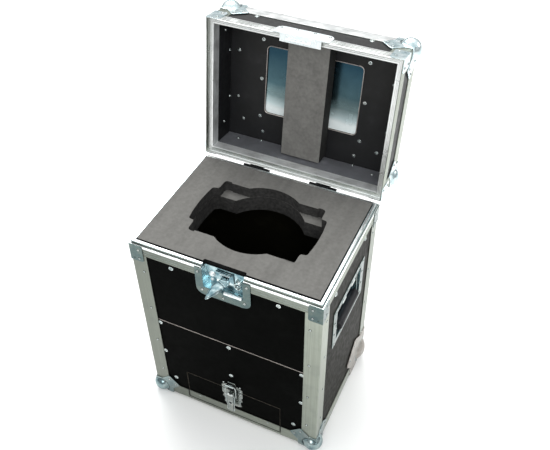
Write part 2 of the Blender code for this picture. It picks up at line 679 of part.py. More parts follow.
# ---- lid -----------------------------------------------------------------------------------
def build_lid(lid, corner):
    low, high = RIM + 10.2 * MM, TOP - SKIN - PANEL - GAP
    for name, side in (("lid_left_panel", -1), ("lid_right_panel", 1)):
        ends = sorted((side * (HALF_W - SKIN), side * INNER_W))
        hang(box(name, (ends[0], -HALF_D + SKIN, low), (ends[1], HALF_D - SKIN, high), "laminate"), lid)
    across = INNER_W - GAP
    for name, side in (("lid_front_panel", -1), ("lid_back_panel", 1)):
        ends = sorted((side * (HALF_D - SKIN), side * INNER_D))
        hang(box(name, (-across, ends[0], low), (across, ends[1], high), "laminate"), lid)
    top = box("lid_top_panel", (-HALF_W + SKIN, -HALF_D + SKIN, TOP - SKIN - PANEL),
              (HALF_W - SKIN, HALF_D - SKIN, TOP - SKIN), "laminate")
    hole = rounded((-LABEL_HALF, LABEL_FRONT), (LABEL_HALF, LABEL_BACK), 9 * MM)
    cut(top, prism("label_hole", hole, "z", TOP - 30 * MM, TOP + 10 * MM, "laminate"))
    hang(top, lid)
    hang(build_lid_rim(), lid)
    hang(build_lid_frame(), lid)
    hang(build_label_dish(), lid)
    hang(build_latch_keeper(), lid)
    face = TOP - SKIN - PANEL - GAP
    hang(box("lid_foam_block", (-LID_FOAM_HALF, -INNER_D + 2 * MM, face - LID_FOAM_THICK),
             (LID_FOAM_HALF, INNER_D - 4 * MM, face), "foam_grey"), lid)
    place_ball_corners(corner, corner, "lid", TOP, 1, lid)


def build_lid_rim():
    """Groove extrusion: outer skirt, web over the body's tongue and an inner leg."""
    low, web, top, inner, skirt = RIM + 0.4 * MM, RIM + 8.4 * MM, RIM + 33.4 * MM, 12.6 * MM, 1.6 * MM
    profile = [(0, low), (skirt, low), (skirt, web), (inner, web), (inner, top), (inner - SHEET, top),
               (inner - SHEET, web + SHEET), (SHEET, web + SHEET), (SHEET, RIM + RIM_LEG),
               (0, RIM + RIM_LEG)]
    rim = ring("lid_rim", profile, "aluminium")
    slot = DISH_HALF + 0.8 * MM
    cut_box(rim, (-slot, -HALF_D - MM, RIM - MM), (slot, -HALF_D + 2 * MM, RIM + 2.6 * MM))
    return rim


def build_lid_frame():
    """Top edge angles with the short corner angles below them."""
    profile = [(0, TOP - LEG), (0, TOP), (LEG, TOP), (LEG, TOP - SHEET), (SHEET, TOP - SHEET),
               (SHEET, TOP - LEG)]
    frame = ring("lid_edge_frame", profile, "aluminium")
    for sx in (-1, 1):
        for sy in (-1, 1):
            outline = shifted(angle_outline(sx, sy), sx * HALF_W, sy * HALF_D)
            weld(frame, prism("lid_corner", outline, "z", RIM + RIM_LEG + GAP, TOP - LEG / 2, "aluminium"))
    return frame


def build_label_dish():
    wall, lip, rest = 1.2 * MM, 12 * MM, TOP - SKIN + GAP
    flange = rounded((-LABEL_HALF - lip, LABEL_FRONT - lip), (LABEL_HALF + lip, LABEL_BACK + lip), lip)
    dish = prism("label_dish", flange, "z", rest, rest + wall, "zinc")
    clear = 0.6 * MM
    cup = rounded((-LABEL_HALF + clear, LABEL_FRONT + clear),
                  (LABEL_HALF - clear, LABEL_BACK - clear), 8 * MM)
    floor = TOP - SKIN - 6 * MM
    weld(dish, prism("label_cup", cup, "z", floor, rest + wall / 2, "zinc"))
    clear += wall
    space = rounded((-LABEL_HALF + clear, LABEL_FRONT + clear), (LABEL_HALF - clear, LABEL_BACK - clear),
                    7 * MM)
    cut(dish, prism("label_space", space, "z", floor + wall, TOP + 10 * MM, "zinc"))
    return dish


def build_latch_keeper():
    """Flange on the lid's front, a plate under its rim and a slotted tongue for the hook."""
    face = -HALF_D - GAP
    plate_low, tongue_low = RIM + 0.5 * MM, RIM - 13 * MM
    outline = [(-FLANGE_HALF, RIM + 0.6 * MM), (FLANGE_HALF, RIM + 0.6 * MM), (FLANGE_HALF, RIM + 22 * MM)]
    outline += arc((FLANGE_HALF - 14 * MM, RIM + 22 * MM), 14 * MM, 20, 90, 4)
    outline += arc((-FLANGE_HALF + 14 * MM, RIM + 22 * MM), 14 * MM, 90, 160, 4)
    outline += [(-FLANGE_HALF, RIM + 22 * MM)]
    keeper = prism("latch_keeper", outline, "y", face - SHEET, face, "zinc")
    weld_box(keeper, (-DISH_HALF, face - SHEET / 2, plate_low), (DISH_HALF, -134.5 * MM, plate_low + SHEET))
    weld_box(keeper, (-24 * MM, -145 * MM, tongue_low), (24 * MM, -143.5 * MM, plate_low + SHEET / 2))
    cut_box(keeper, (-18.6 * MM, -147 * MM, RIM - 9.7 * MM), (18.6 * MM, -141 * MM, RIM - 3.7 * MM))
    return keeper


def main():
    clear_scene()
    build_base_panel()
    build_panels()
    build_angles()
    build_rim()
    corner = ball_corner_mesh(BALL_R, BALL_INSET, BALL_ARM, BALL_LOBE)
    heel = ball_corner_mesh(HEEL_R, HEEL_INSET, HEEL_ARM, HEEL_LOBE)
    place_ball_corners(corner, heel, "base", BOTTOM, -1)
    build_foam()
    build_latch_dish()
    knob = build_knob()
    build_wing("latch_wing_lower", KNOB_TURN, knob)
    build_wing("latch_wing_upper", KNOB_TURN - 180, knob)
    build_hook()
    for side, sx in (("left", -1), ("right", 1)):
        build_handle(side, sx)
    build_hatch()
    opened = Matrix.Rotation(math.radians(-LID_OPEN_ANGLE), 4, "X")
    lid = pivot("lid_pivot", (0, HALF_D + HINGE_OFFSET, RIM + HINGE_RAISE), opened)
    build_lid(lid, corner)
    for side, sx in (("left", -1), ("right", 1)):
        build_hinge(side, sx, lid)


main()
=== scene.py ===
"""Looks for the open flight case: finishes, extrusions, hardware, foam, light and view.

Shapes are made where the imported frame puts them. Those of the lid are made as if it were
shut and then turned open with it, so that both halves share one upright set of axes.
"""
import json
import math

import bmesh
import bpy
from mathutils import Matrix, Vector


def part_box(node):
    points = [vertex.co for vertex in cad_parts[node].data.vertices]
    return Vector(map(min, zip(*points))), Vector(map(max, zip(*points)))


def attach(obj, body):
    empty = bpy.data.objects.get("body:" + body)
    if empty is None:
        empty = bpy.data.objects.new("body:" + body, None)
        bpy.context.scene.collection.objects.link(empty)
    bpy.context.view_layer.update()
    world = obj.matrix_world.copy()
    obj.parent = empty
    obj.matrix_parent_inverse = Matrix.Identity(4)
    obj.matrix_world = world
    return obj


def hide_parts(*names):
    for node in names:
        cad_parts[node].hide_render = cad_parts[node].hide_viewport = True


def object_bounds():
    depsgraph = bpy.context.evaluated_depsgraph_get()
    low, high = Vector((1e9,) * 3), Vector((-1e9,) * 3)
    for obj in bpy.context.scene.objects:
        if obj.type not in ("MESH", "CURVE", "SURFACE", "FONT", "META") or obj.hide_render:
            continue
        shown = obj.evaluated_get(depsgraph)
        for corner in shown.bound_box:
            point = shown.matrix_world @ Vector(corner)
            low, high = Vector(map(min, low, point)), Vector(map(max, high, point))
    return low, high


MM = 0.001

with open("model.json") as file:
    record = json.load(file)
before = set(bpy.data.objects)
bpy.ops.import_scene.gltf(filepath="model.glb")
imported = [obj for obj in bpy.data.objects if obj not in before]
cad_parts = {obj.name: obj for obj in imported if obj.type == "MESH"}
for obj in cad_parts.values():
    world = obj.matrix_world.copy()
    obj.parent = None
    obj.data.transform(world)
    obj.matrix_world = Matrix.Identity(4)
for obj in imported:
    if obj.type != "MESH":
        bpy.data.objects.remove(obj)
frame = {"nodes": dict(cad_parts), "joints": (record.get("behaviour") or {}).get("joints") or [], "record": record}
cad_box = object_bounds()

RECORD = frame["record"]
BODY_OF = {n: body for body, nodes in RECORD["behaviour"]["bodies"].items() for n in nodes}
JOINT = {joint["name"]: joint for joint in frame["joints"]}
SIDES = (("left", -1), ("right", 1))
ENDS = (("front", -1), ("back", 1))
CORNERS = [(end + "_" + side, sx, sy) for end, sy in ENDS for side, sx in SIDES]

# ---- sizes read from the frame
RIM_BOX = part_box("body_rim")
HALF_W, HALF_D = RIM_BOX[1].x, RIM_BOX[1].y
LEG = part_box("bottom_angle_left")[1].x + HALF_W     # leg of an edge angle
SHEET = 1.5 * MM
FOLD = 2.2 * MM                                     # outer radius of a bar's or an angle's edge
BOARD_BACK = 1.8 * MM                               # a board's face behind the case's face
LABEL_FLANGE = 12 * MM
RIM_LEG = 25 * MM                                   # outer leg of the rim extrusions
RIM = RIM_BOX[0].z + RIM_LEG                        # where the lid's skirt meets the body
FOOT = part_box("bottom_angle_left")[0].z             # underside of the bottom angles
FLOOR = cad_box[0][2]


def turned_about(joint, degrees):
    """The turn of a joint by an angle, about its own axis."""
    pos, axis = Vector(joint["pos_m"]), Vector(joint["axis"])
    turn = Matrix.Rotation(math.radians(degrees), 4, axis)
    return Matrix.Translation(pos) @ turn @ Matrix.Translation(-pos)


OPEN = turned_about(JOINT["lid_hinge"], -JOINT["lid_hinge"]["range_deg"][1])


def shut_box(node):
    """Lowest and highest corner of a lid node, with the lid shut."""
    back = OPEN.inverted()
    places = [back @ v.co for v in frame["nodes"][node].data.vertices]
    low = Vector([min(p[i] for p in places) for i in range(3)])
    return low, Vector([max(p[i] for p in places) for i in range(3)])


TOP = shut_box("lid_edge_frame")[1].z


# ---- materials
def new_material(name, colour, roughness, metallic=0.0):
    material = bpy.data.materials.new(name)
    material.use_nodes = True
    shader = material.node_tree.nodes["Principled BSDF"]
    shader.inputs["Base Color"].default_value = (*colour, 1.0)
    shader.inputs["Roughness"].default_value = roughness
    shader.inputs["Metallic"].default_value = metallic
    return material


def shader_of(material):
    return material.node_tree.nodes["Principled BSDF"]


def shader_node(tree, kind, values, links):
    """A new shader node, with the values of its inputs and what is linked to them."""
    node = tree.nodes.new(kind)
    for socket, value in values.items():
        node.inputs[socket].default_value = value
    for socket, source in links.items():
        tree.links.new(source, node.inputs[socket])
    return node


def noise_of(material, scale, detail=3.0, stretch=(1, 1, 1), kind="ShaderNodeTexNoise", slant=0.0):
    """A texture over the object's own coordinates; scale is in cells a metre."""
    tree = material.node_tree
    place = tree.nodes.new("ShaderNodeTexCoord")
    mapping = shader_node(tree, "ShaderNodeMapping", {"Scale": stretch, "Rotation": (0, 0, slant)},
                          {"Vector": place.outputs["Object"]})
    texture = shader_node(tree, kind, {"Scale": scale}, {"Vector": mapping.outputs["Vector"]})
    if "Detail" in texture.inputs:
        texture.inputs["Detail"].default_value = detail
    return texture.outputs[0]


def fill_ramp(node, stops):
    """Sets a colour ramp; a stop is (place from 0 to 1, colour)."""
    elements = node.color_ramp.elements
    while len(elements) < len(stops):
        elements.new(0.5)
    for element, (place, colour) in zip(elements, stops):
        element.position = place
        element.color = (*colour, 1.0)


def ramp(material, factor, stops):
    node = shader_node(material.node_tree, "ShaderNodeValToRGB", {}, {"Fac": factor})
    fill_ramp(node, stops)
    return node.outputs["Color"]


def spread(material, factor, low, high, source=(0.3, 0.7)):
    """A factor's range made into another."""
    values = {"From Min": source[0], "From Max": source[1], "To Min": low, "To Max": high}
    return shader_node(material.node_tree, "ShaderNodeMapRange", values, {"Value": factor}).outputs["Result"]


def multiplied(material, first, second):
    node = shader_node(material.node_tree, "ShaderNodeMix", {"Factor": 1.0}, {})
    node.data_type = "RGBA"
    node.blend_type = "MULTIPLY"
    material.node_tree.links.new(first, node.inputs[6])
    material.node_tree.links.new(second, node.inputs[7])
    return node.outputs[2]


def coordinate(tree, axis, output="Object"):
    """Where a point lies along one of the object's axes, in metres."""
    place = tree.nodes.new("ShaderNodeTexCoord")
    split = shader_node(tree, "ShaderNodeSeparateXYZ", {}, {"Vector": place.outputs[output]})
    return split.outputs[axis]


def grey(level):
    return (level, level, level)


def feed(material, socket, source):
    material.node_tree.links.new(source, shader_of(material).inputs[socket])


def relief(material, layers):
    """Bumps one over another: each layer is (height, strength, distance in metres)."""
    links = {}
    for height, strength, distance in layers:
        node = shader_node(material.node_tree, "ShaderNodeBump", {"Strength": strength, "Distance": distance},
                           {"Height": height, **links})
        links = {"Normal": node.outputs["Normal"]}
    feed(material, "Normal", links["Normal"])


def dull(material, level):
    """Lowers the sheen of a surface that isn't metal."""
    shader_of(material).inputs["Specular IOR Level"].default_value = level


def make_laminate(name, colour, sheen):
    """Black phenolic face: a fine pebbled grip texture, with a little dust in it and faint rubs."""
    material = new_material(name, colour, 0.5)
    dust = noise_of(material, 24, 7)
    stops = [(place, tuple(k * c for c in colour)) for place, k in ((0.35, 0.78), (0.6, 1.0), (0.8, 1.8))]
    feed(material, "Base Color", ramp(material, dust, stops))
    feed(material, "Roughness", spread(material, noise_of(material, 90, 5), 0.42, 0.58))
    grip = noise_of(material, 700, kind="ShaderNodeTexVoronoi")
    relief(material, [(grip, 0.25, 0.1 * MM), (noise_of(material, 160, 3), 0.12, 0.2 * MM)])
    dull(material, sheen)
    shader_of(material).inputs["Specular Tint"].default_value = (1.0, 0.97, 0.88, 1.0)
    return material


def make_ply():
    """Sawn edge of birch ply: pale and dark veneers in turn, a little dirty."""
    material = new_material("ply_edge", (0.16, 0.12, 0.08), 0.8)
    grain = noise_of(material, 260, 5)
    feed(material, "Base Color", ramp(material, grain, [
        (0.3, (0.05, 0.045, 0.036)), (0.5, (0.11, 0.098, 0.078)), (0.75, (0.19, 0.17, 0.14))]))
    relief(material, [(grain, 0.4, 0.2 * MM)])
    dull(material, 0.2)
    return material


def painted_shade_left(material, level):
    """Painted shade: white on the case's right side, down to a grey level on its left."""
    share = spread(material, coordinate(material.node_tree, "X"), 0.0, 1.0, (-HALF_W, HALF_W))
    return ramp(material, share, [(0.0, grey(level)), (1.0, grey(1.0))])


def make_aluminium(name, along, dark, light, roughness, left=1.0, metallic=1.0):
    """Extruded aluminium: fine die lines along the bar, small handling marks and dust on them, and painted shade
    down to the left level on the case's left side.
    """
    material = new_material(name, light, roughness[0], metallic)
    stretch = tuple(0.012 if axis == along else 1.0 for axis in "xyz")
    lines = noise_of(material, 420, 3, stretch)
    marks = noise_of(material, 34, 4)
    tone = ramp(material, marks, [(0.3, dark), (0.52, light), (0.75, tuple(1.04 * c for c in light))])
    line_tone = ramp(material, lines, [(0.36, (0.88, 0.87, 0.87)), (0.62, (1.0, 1.0, 1.0))])
    # painted shade: the tone is darkened towards the case's left side
    tone = multiplied(material, tone, painted_shade_left(material, left))
    feed(material, "Base Color", multiplied(material, tone, line_tone))
    feed(material, "Roughness", spread(material, marks, *roughness))
    relief(material, [(lines, 0.08, 0.05 * MM)])
    return material


def bar_finishes(name, axes, *finish):
    """An aluminium finish for each axis that a bar may run along."""
    return {axis: make_aluminium(name + "_along_" + axis, axis, *finish) for axis in axes}


def make_zinc(name, dark, middle, light, roughness=(0.2, 0.29), metallic=1.0):
    """Bright zinc plate, with the blue and straw clouds of its passivation and fine polishing marks."""
    material = new_material(name, middle, 0.24, metallic)
    clouds = noise_of(material, 75, 6)
    feed(material, "Base Color", ramp(material, clouds, [(0.32, dark), (0.5, middle), (0.7, light)]))
    feed(material, "Roughness", spread(material, noise_of(material, 70, 3), *roughness))
    relief(material, [(noise_of(material, 45, 1), 0.06, 0.3 * MM)])
    return material


def make_label_zinc_painted_light(low, high):
    """Flat zinc sheet with painted light: white and matt near the lid's back edge, through pale cyan into dark
    blue metal away from it.
    """
    material = new_material("zinc_sheet_painted_light", (0.3, 0.45, 0.52), 0.2, 1.0)
    height = spread(material, coordinate(material.node_tree, "Z"), 0.0, 1.0, (low, high))
    cloud = spread(material, noise_of(material, 9, 2), -0.06, 0.06)
    total = shader_node(material.node_tree, "ShaderNodeMath", {}, {0: height, 1: cloud})
    feed(material, "Base Color", ramp(material, total.outputs[0], [
        (0.1, (0.92, 1.0, 1.0)), (0.17, (0.62, 0.76, 0.78)), (0.3, (0.20, 0.29, 0.30)),
        (0.5, (0.065, 0.12, 0.14)), (0.95, (0.022, 0.056, 0.08))]))
    feed(material, "Metallic", spread(material, total.outputs[0], 0.0, 1.0, (0.08, 0.45)))
    feed(material, "Roughness", spread(material, noise_of(material, 40, 2), 0.2, 0.28))
    return material


def make_foam(name, dark, middle, light):
    """Closed-cell foam: fine cells, soft mottling, and scuffs that run two ways across it."""
    material = new_material(name, middle, 0.95)
    cells = noise_of(material, 1100, kind="ShaderNodeTexVoronoi")
    mottle = noise_of(material, 160, 7)
    tone = ramp(material, mottle, [(0.34, dark), (0.5, middle), (0.68, light)])
    for slant, reach in ((0.6, 55), (-0.9, 34)):
        scuff = noise_of(material, reach, 6, (1.0, 0.16, 1.0), slant=slant)
        shade = ramp(material, scuff, [(0.32, grey(0.9)), (0.5, grey(1.0)), (0.7, grey(1.05))])
        tone = multiplied(material, tone, shade)
    grain = ramp(material, cells, [(0.0, grey(0.86)), (0.3, grey(1.0))])
    feed(material, "Base Color", multiplied(material, tone, grain))
    relief(material, [(mottle, 0.15, 0.25 * MM), (cells, 0.3, 0.12 * MM)])
    dull(material, 0.1)
    return material


def make_rubber():
    """Moulded grip rubber with a spark-eroded skin."""
    material = new_material("grip_rubber", (0.011, 0.011, 0.014), 0.5)
    skin = noise_of(material, 900, 3)
    feed(material, "Roughness", spread(material, skin, 0.40, 0.58))
    feed(material, "Base Color", ramp(material, noise_of(material, 80, 4), [
        (0.3, (0.008, 0.008, 0.011)), (0.7, (0.015, 0.015, 0.018))]))
    relief(material, [(skin, 0.25, 0.08 * MM)])
    dull(material, 0.3)
    return material


# painted light and shade: copies of one black laminate, darker or lighter for the light on the boards they go on;
# 'low' is a much paler painted-light copy
LAMINATE = {
    "front": make_laminate("black_laminate_front", (0.0017, 0.0019, 0.0017), 0.008),
    "side": make_laminate("black_laminate", (0.0085, 0.0078, 0.0048), 0.05),
    "lid": make_laminate("black_laminate_lid", (0.0145, 0.0152, 0.0172), 0.25),
    "low": make_laminate("black_laminate_painted_light", (0.16, 0.165, 0.18), 0.25),
}
PLY = make_ply()
ALUMINIUM = bar_finishes("aluminium", "xyz", (0.295, 0.325, 0.28), (0.345, 0.375, 0.32), (0.30, 0.42), 0.52)
# painted shade: a darker copy of the aluminium for the rim's outer leg and the back corner angles
ALUMINIUM_PAINTED_SHADE = bar_finishes("aluminium_painted_shade", "xyz", (0.20, 0.225, 0.19), (0.25, 0.275, 0.235), (0.30, 0.42), 0.62)
# painted light: a paler, less metallic copy of the aluminium for the lid rim's inner leg
ALUMINIUM_PAINTED_LIGHT = bar_finishes("aluminium_painted_light", "xz", (0.62, 0.63, 0.62), (0.9, 0.92, 0.92), (0.3, 0.4), 1.0, 0.55)
# painted highlight: a near-white copy of the aluminium for faces that look up or forward
ALUMINIUM_PAINTED_HIGHLIGHT = bar_finishes("aluminium_painted_highlight", "xyz", (0.86, 0.89, 0.88), (0.95, 0.97, 0.96), (0.26, 0.38))
STRIP = make_aluminium("joining_strip_finish", "x", (0.50, 0.46, 0.43), (0.62, 0.57, 0.54), (0.35, 0.45))
ZINC = make_zinc("zinc_hardware", (0.078, 0.115, 0.118), (0.098, 0.138, 0.134), (0.135, 0.165, 0.152))
# painted light: a paler zinc for the inside of the pressed cups
ZINC_CUP_PAINTED_LIGHT = make_zinc("zinc_cup_painted_light", (0.09, 0.19, 0.24), (0.30, 0.43, 0.46), (0.60, 0.74, 0.77),
                     (0.12, 0.22), 0.9)
# painted light: a paler zinc for the latch's hook, knob and wings
ZINC_PAINTED_LIGHT = make_zinc("zinc_painted_light", (0.10, 0.19, 0.23), (0.30, 0.42, 0.45), (0.80, 0.88, 0.88),
                        (0.1, 0.18), 0.95)
ZINC_CATCH = make_zinc("zinc_catch", (0.26, 0.29, 0.28), (0.34, 0.37, 0.35), (0.44, 0.45, 0.42),
                       (0.2, 0.34))
# ball corner zincs: the wings' own tone, which is also painted shade in the rings of the lid's and heel corners; a
# paler ball as painted light; a dark ring as painted shade
ZINC_CORNER = make_zinc("zinc_corner", (0.15, 0.21, 0.22), (0.20, 0.26, 0.26), (0.26, 0.30, 0.29))
ZINC_BALL_PAINTED_LIGHT = make_zinc("zinc_ball_painted_light", (0.12, 0.19, 0.21), (0.24, 0.32, 0.33), (0.42, 0.50, 0.50))
ZINC_PAINTED_SHADE = make_zinc("zinc_painted_shade", (0.04, 0.065, 0.07), (0.06, 0.09, 0.095), (0.09, 0.12, 0.12))
ZINC_HEEL = make_zinc("zinc_heel", (0.26, 0.24, 0.22), (0.31, 0.29, 0.265), (0.37, 0.35, 0.325),
                      (0.3, 0.45), 0.8)
# painted highlight: near-white zinc for the latch keeper, the hook's ribs, the lip bar and the stop domes
ZINC_PAINTED_WHITE = make_zinc("zinc_painted_highlight", (0.84, 0.92, 0.94), (0.88, 0.94, 0.95), (0.92, 0.96, 0.96),
                      (0.2, 0.3), 0.5)
# painted light: a paler copy of the zinc for the lid's braces and ball corners
ZINC_LID_PAINTED_LIGHT = make_zinc("zinc_lid_painted_light", (0.45, 0.58, 0.61), (0.64, 0.75, 0.77), (0.84, 0.91, 0.91),
                     (0.16, 0.26), 0.75)
ZINC_RIVET = make_zinc("zinc_rivet", (0.42, 0.50, 0.50), (0.58, 0.64, 0.63), (0.72, 0.74, 0.72))
ZINC_STEM = make_zinc("zinc_rivet_head", (0.32, 0.36, 0.36), (0.42, 0.46, 0.45), (0.55, 0.57, 0.55))
DISH_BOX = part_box("label_dish")
ZINC_SHEET = make_label_zinc_painted_light(DISH_BOX[0].z + LABEL_FLANGE, DISH_BOX[1].z - LABEL_FLANGE)
# painted shade: a greyer tone for the rim's grooves and the tongue's rounded edges
RIM_PAINTED_SHADE = make_zinc("rim_painted_shade", (0.20, 0.27, 0.29), (0.30, 0.38, 0.40), (0.42, 0.50, 0.52),
                        (0.3, 0.4), 0.6)
# foam tones: the lid block's skin paler as painted light; cut faces darker, partly their own colour and partly
# painted shade; near black as painted shade at the front
FOAM_GREY = make_foam("foam_grey", (0.134, 0.131, 0.123), (0.145, 0.142, 0.134), (0.157, 0.154, 0.145))
FOAM_LID_PAINTED_LIGHT = make_foam("foam_lid_painted_light", (0.155, 0.152, 0.143), (0.172, 0.169, 0.159), (0.192, 0.188, 0.177))
FOAM_SIDE = make_foam("lid_foam_cut_side_and_painted_shade", (0.034, 0.034, 0.033), (0.04, 0.04, 0.038), (0.047, 0.047, 0.045))
FOAM_CUT_AND_SHADE = make_foam("foam_cut_face_and_painted_shade", (0.03, 0.03, 0.029), (0.042, 0.041, 0.040), (0.055, 0.054, 0.052))
FOAM_PAINTED_SHADE = make_foam("foam_painted_shade", grey(0.005), grey(0.007), grey(0.01))
RUBBER = make_rubber()
# painted shade: near-black for sheets and faces put in gaps, holes and knuckles, and for rings round rivet heads,
# where there is only shade
PAINTED_SHADE_BLACK = make_zinc("painted_shade_black", (0.012, 0.013, 0.014), (0.018, 0.019, 0.02), (0.03, 0.03, 0.03),
                    (0.35, 0.5))


# ---- mesh helpers
def lift(point, axis, along):
    """An outline point in space: the outline's plane is normal to the axis."""
    first, second = point
    if axis == "x":
        return (along, first, second)
    if axis == "y":
        return (first, along, second)
    return (first, second, along)


def prism(outline, axis, start, end, bm=None):
    """An outline drawn out along an axis."""
    bm = bm or bmesh.new()
    near = [bm.verts.new(lift(point, axis, start)) for point in outline]
    far = [bm.verts.new(lift(point, axis, end)) for point in outline]
    faces = [bm.faces.new(near), bm.faces.new(far)]
    for i, vert in enumerate(near):
        j = (i + 1) % len(near)
        faces.append(bm.faces.new((vert, near[j], far[j], far[i])))
    bmesh.ops.recalc_face_normals(bm, faces=faces)
    return bm


def block(low, high, bm=None):
    outline = [(low[0], low[1]), (high[0], low[1]), (high[0], high[1]), (low[0], high[1])]
    return prism(outline, "z", low[2], high[2], bm)


def arc(centre, radius, start, end, steps=6):
    points = []
    for k in range(steps + 1):
        turn = math.radians(start + (end - start) * k / steps)
        points.append((centre[0] + radius * math.cos(turn), centre[1] + radius * math.sin(turn)))
    return points


def rounded(low, high, radius, steps=5):
    """A rectangle with rounded corners, anticlockwise."""
    x0, y0, x1, y1 = low[0] + radius, low[1] + radius, high[0] - radius, high[1] - radius
    points = []
    for start, centre in ((-90, (x1, y0)), (0, (x1, y1)), (90, (x0, y1)), (180, (x0, y0))):
        points += arc(centre, radius, start, start + 90, steps)
    return points


def soften(bm, width, segments=3, above=30):
    """Rounds the edges of a mesh whose faces meet at more than an angle."""
    bmesh.ops.remove_doubles(bm, verts=bm.verts, dist=1e-6)
    bmesh.ops.dissolve_limit(bm, angle_limit=math.radians(0.8), verts=bm.verts, edges=bm.edges)
    limit = math.radians(above)
    bmesh.ops.triangulate(bm, faces=[f for f in bm.faces if len(f.verts) > 4], ngon_method="EAR_CLIP")
    edges = [e for e in bm.edges if e.is_manifold and e.calc_face_angle() > limit]
    bmesh.ops.bevel(bm, geom=edges, offset=width, segments=segments, profile=0.5, affect="EDGES",
                    clamp_overlap=True, loop_slide=True)
    return bm


def placed(name, data):
    """A new object in the scene."""
    item = bpy.data.objects.new(name, data)
    bpy.context.scene.collection.objects.link(item)
    return item


def mesh_of(name, bm):
    """A mesh made from a bmesh, which is freed."""
    mesh = bpy.data.meshes.new(name)
    bm.to_mesh(mesh)
    bm.free()
    return mesh


def add_piece(name, bm, body, materials, replaces=(), shut=True, smooth=38):
    """Makes a piece from a mesh. One for the lid is made shut, and is opened here."""
    if body == "lid" and shut:
        bm.transform(OPEN)
    mesh = mesh_of(name, bm)
    mesh.shade_smooth()
    mesh.set_sharp_from_angle(angle=math.radians(smooth))
    item = placed(name, mesh)
    for material in materials if isinstance(materials, list) else [materials]:
        mesh.materials.append(material)
    step = item.modifiers.new("weighted", "WEIGHTED_NORMAL")
    step.keep_sharp = True
    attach(item, body)
    if replaces:
        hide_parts(*replaces)
    return item


def add_bar(name, bm, body, materials, replaces=()):
    """An aluminium bar with its arrises eased."""
    add_piece(name, soften(bm, 0.3 * MM, 2, 60), body, materials, replaces)


def add_hardware(name, bm, materials, body="case_body", replaces=(), smooth=38):
    """A zinc plated part."""
    add_piece(name, bm, body, materials, replaces, smooth=smooth)


def node_mesh(node):
    """A node's own shape, as one closed skin."""
    bm = bmesh.new()
    bm.from_mesh(frame["nodes"][node].data)
    bmesh.ops.remove_doubles(bm, verts=bm.verts, dist=1e-6)
    bmesh.ops.recalc_face_normals(bm, faces=bm.faces)
    return bm


def replace_node(node, ending, bm, materials):
    """A piece in the place of a node, on its body."""
    return add_piece(node + ending, bm, BODY_OF[node], materials, (node,), shut=False)


def refined(node, width, material):
    """A node's own shape with its edges rounded."""
    replace_node(node, "_rounded", soften(node_mesh(node), width), material)


def cupped(node, width, deep):
    """A pressed dish: its flange, and the cup inside it given a brighter zinc as painted light."""
    bm = soften(node_mesh(node), width)
    for face in bm.faces:
        face.material_index = int(deep(face.calc_center_median()))
    replace_node(node, "_rounded", bm, [ZINC, ZINC_CUP_PAINTED_LIGHT])


def scratch(bm):
    """A passing object, for cutting with or for its modifiers."""
    return placed("scratch", mesh_of("scratch", bm))


def settled(item, *tools):
    """The shape that an object's modifiers give it, as a bmesh. Deletes the object and the tools."""
    bpy.context.view_layer.update()
    graph = bpy.context.evaluated_depsgraph_get()
    bm = bmesh.new()
    bm.from_mesh(item.evaluated_get(graph).to_mesh())
    for used in (item, *tools):
        bpy.data.objects.remove(used, do_unlink=True)
    return bm


def carve(bm, tools, operation="DIFFERENCE"):
    """Boolean of a mesh with others; returns the new mesh."""
    base = scratch(bm)
    tools = [scratch(tool) for tool in tools]
    for tool in tools:
        step = base.modifiers.new("carve", "BOOLEAN")
        step.operation = operation
        step.solver = "EXACT"
        step.object = tool
    return settled(base, *tools)


def turned(bm, profile, spot, normal, segments=18, tone=0):
    """Adds a turned shape; profile is (radius, height) in millimetres, from the top's middle down."""
    upright = Vector(normal).to_track_quat("Z", "Y").to_matrix()
    rows = []
    for radius, height in profile:
        row = []
        for k in range(segments if radius > 0 else 1):
            turn = 2 * math.pi * k / segments
            local = MM * Vector((radius * math.cos(turn), radius * math.sin(turn), height))
            row.append(bm.verts.new(Vector(spot) + upright @ local))
        rows.append(row)
    faces = []
    for first, second in zip(rows, rows[1:]):
        for k in range(segments):
            n = (k + 1) % segments
            corners = [first[k % len(first)], second[k % len(second)],
                       second[n % len(second)], first[n % len(first)]]
            faces.append(bm.faces.new(list(dict.fromkeys(corners))))
            faces[-1].material_index = tone
    bmesh.ops.recalc_face_normals(bm, faces=faces)


# ---- boards
BOARDS = {  # the axis that each board is thin along, with the lid shut
    "base_panel": "z", "back_panel": "y", "left_panel": "x", "right_panel": "x", "front_panel": "y",
    "front_cover": "y", "divider_shelf": "z", "hatch_panel": "y", "lid_top_panel": "z",
    "lid_front_panel": "y", "lid_back_panel": "y", "lid_left_panel": "x", "lid_right_panel": "x",
}
FRONT_BOARDS = ("front_panel", "front_cover", "hatch_panel")
BROAD_FACE = 0.85       # least cosine between a broad face's normal and the board's thin axis


def build_board(node, thin):
    """A board with eased arrises, and raw ply on its sawn edges."""
    in_lid = BODY_OF[node] == "lid"
    if in_lid:
        thin = OPEN.to_3x3() @ thin
    bm = soften(node_mesh(node), 0.5 * MM, 2)
    for face in bm.faces:
        facing = face.normal.dot(thin)
        face.material_index = int(abs(facing) < BROAD_FACE)
        # painted light: the lid's back panel takes the pale copy on its inward face
        if node == "lid_back_panel" and facing < -BROAD_FACE:
            face.material_index = 2
    # painted light and shade: front, lid and side boards take different copies of the laminate
    kind = "front" if node in FRONT_BOARDS else "lid" if in_lid else "side"
    replace_node(node, "_board", bm, [LAMINATE[kind], PLY, LAMINATE["low"]])


def build_boards():
    for node, axis in BOARDS.items():
        build_board(node, Vector([float(a == axis) for a in "xyz"]))


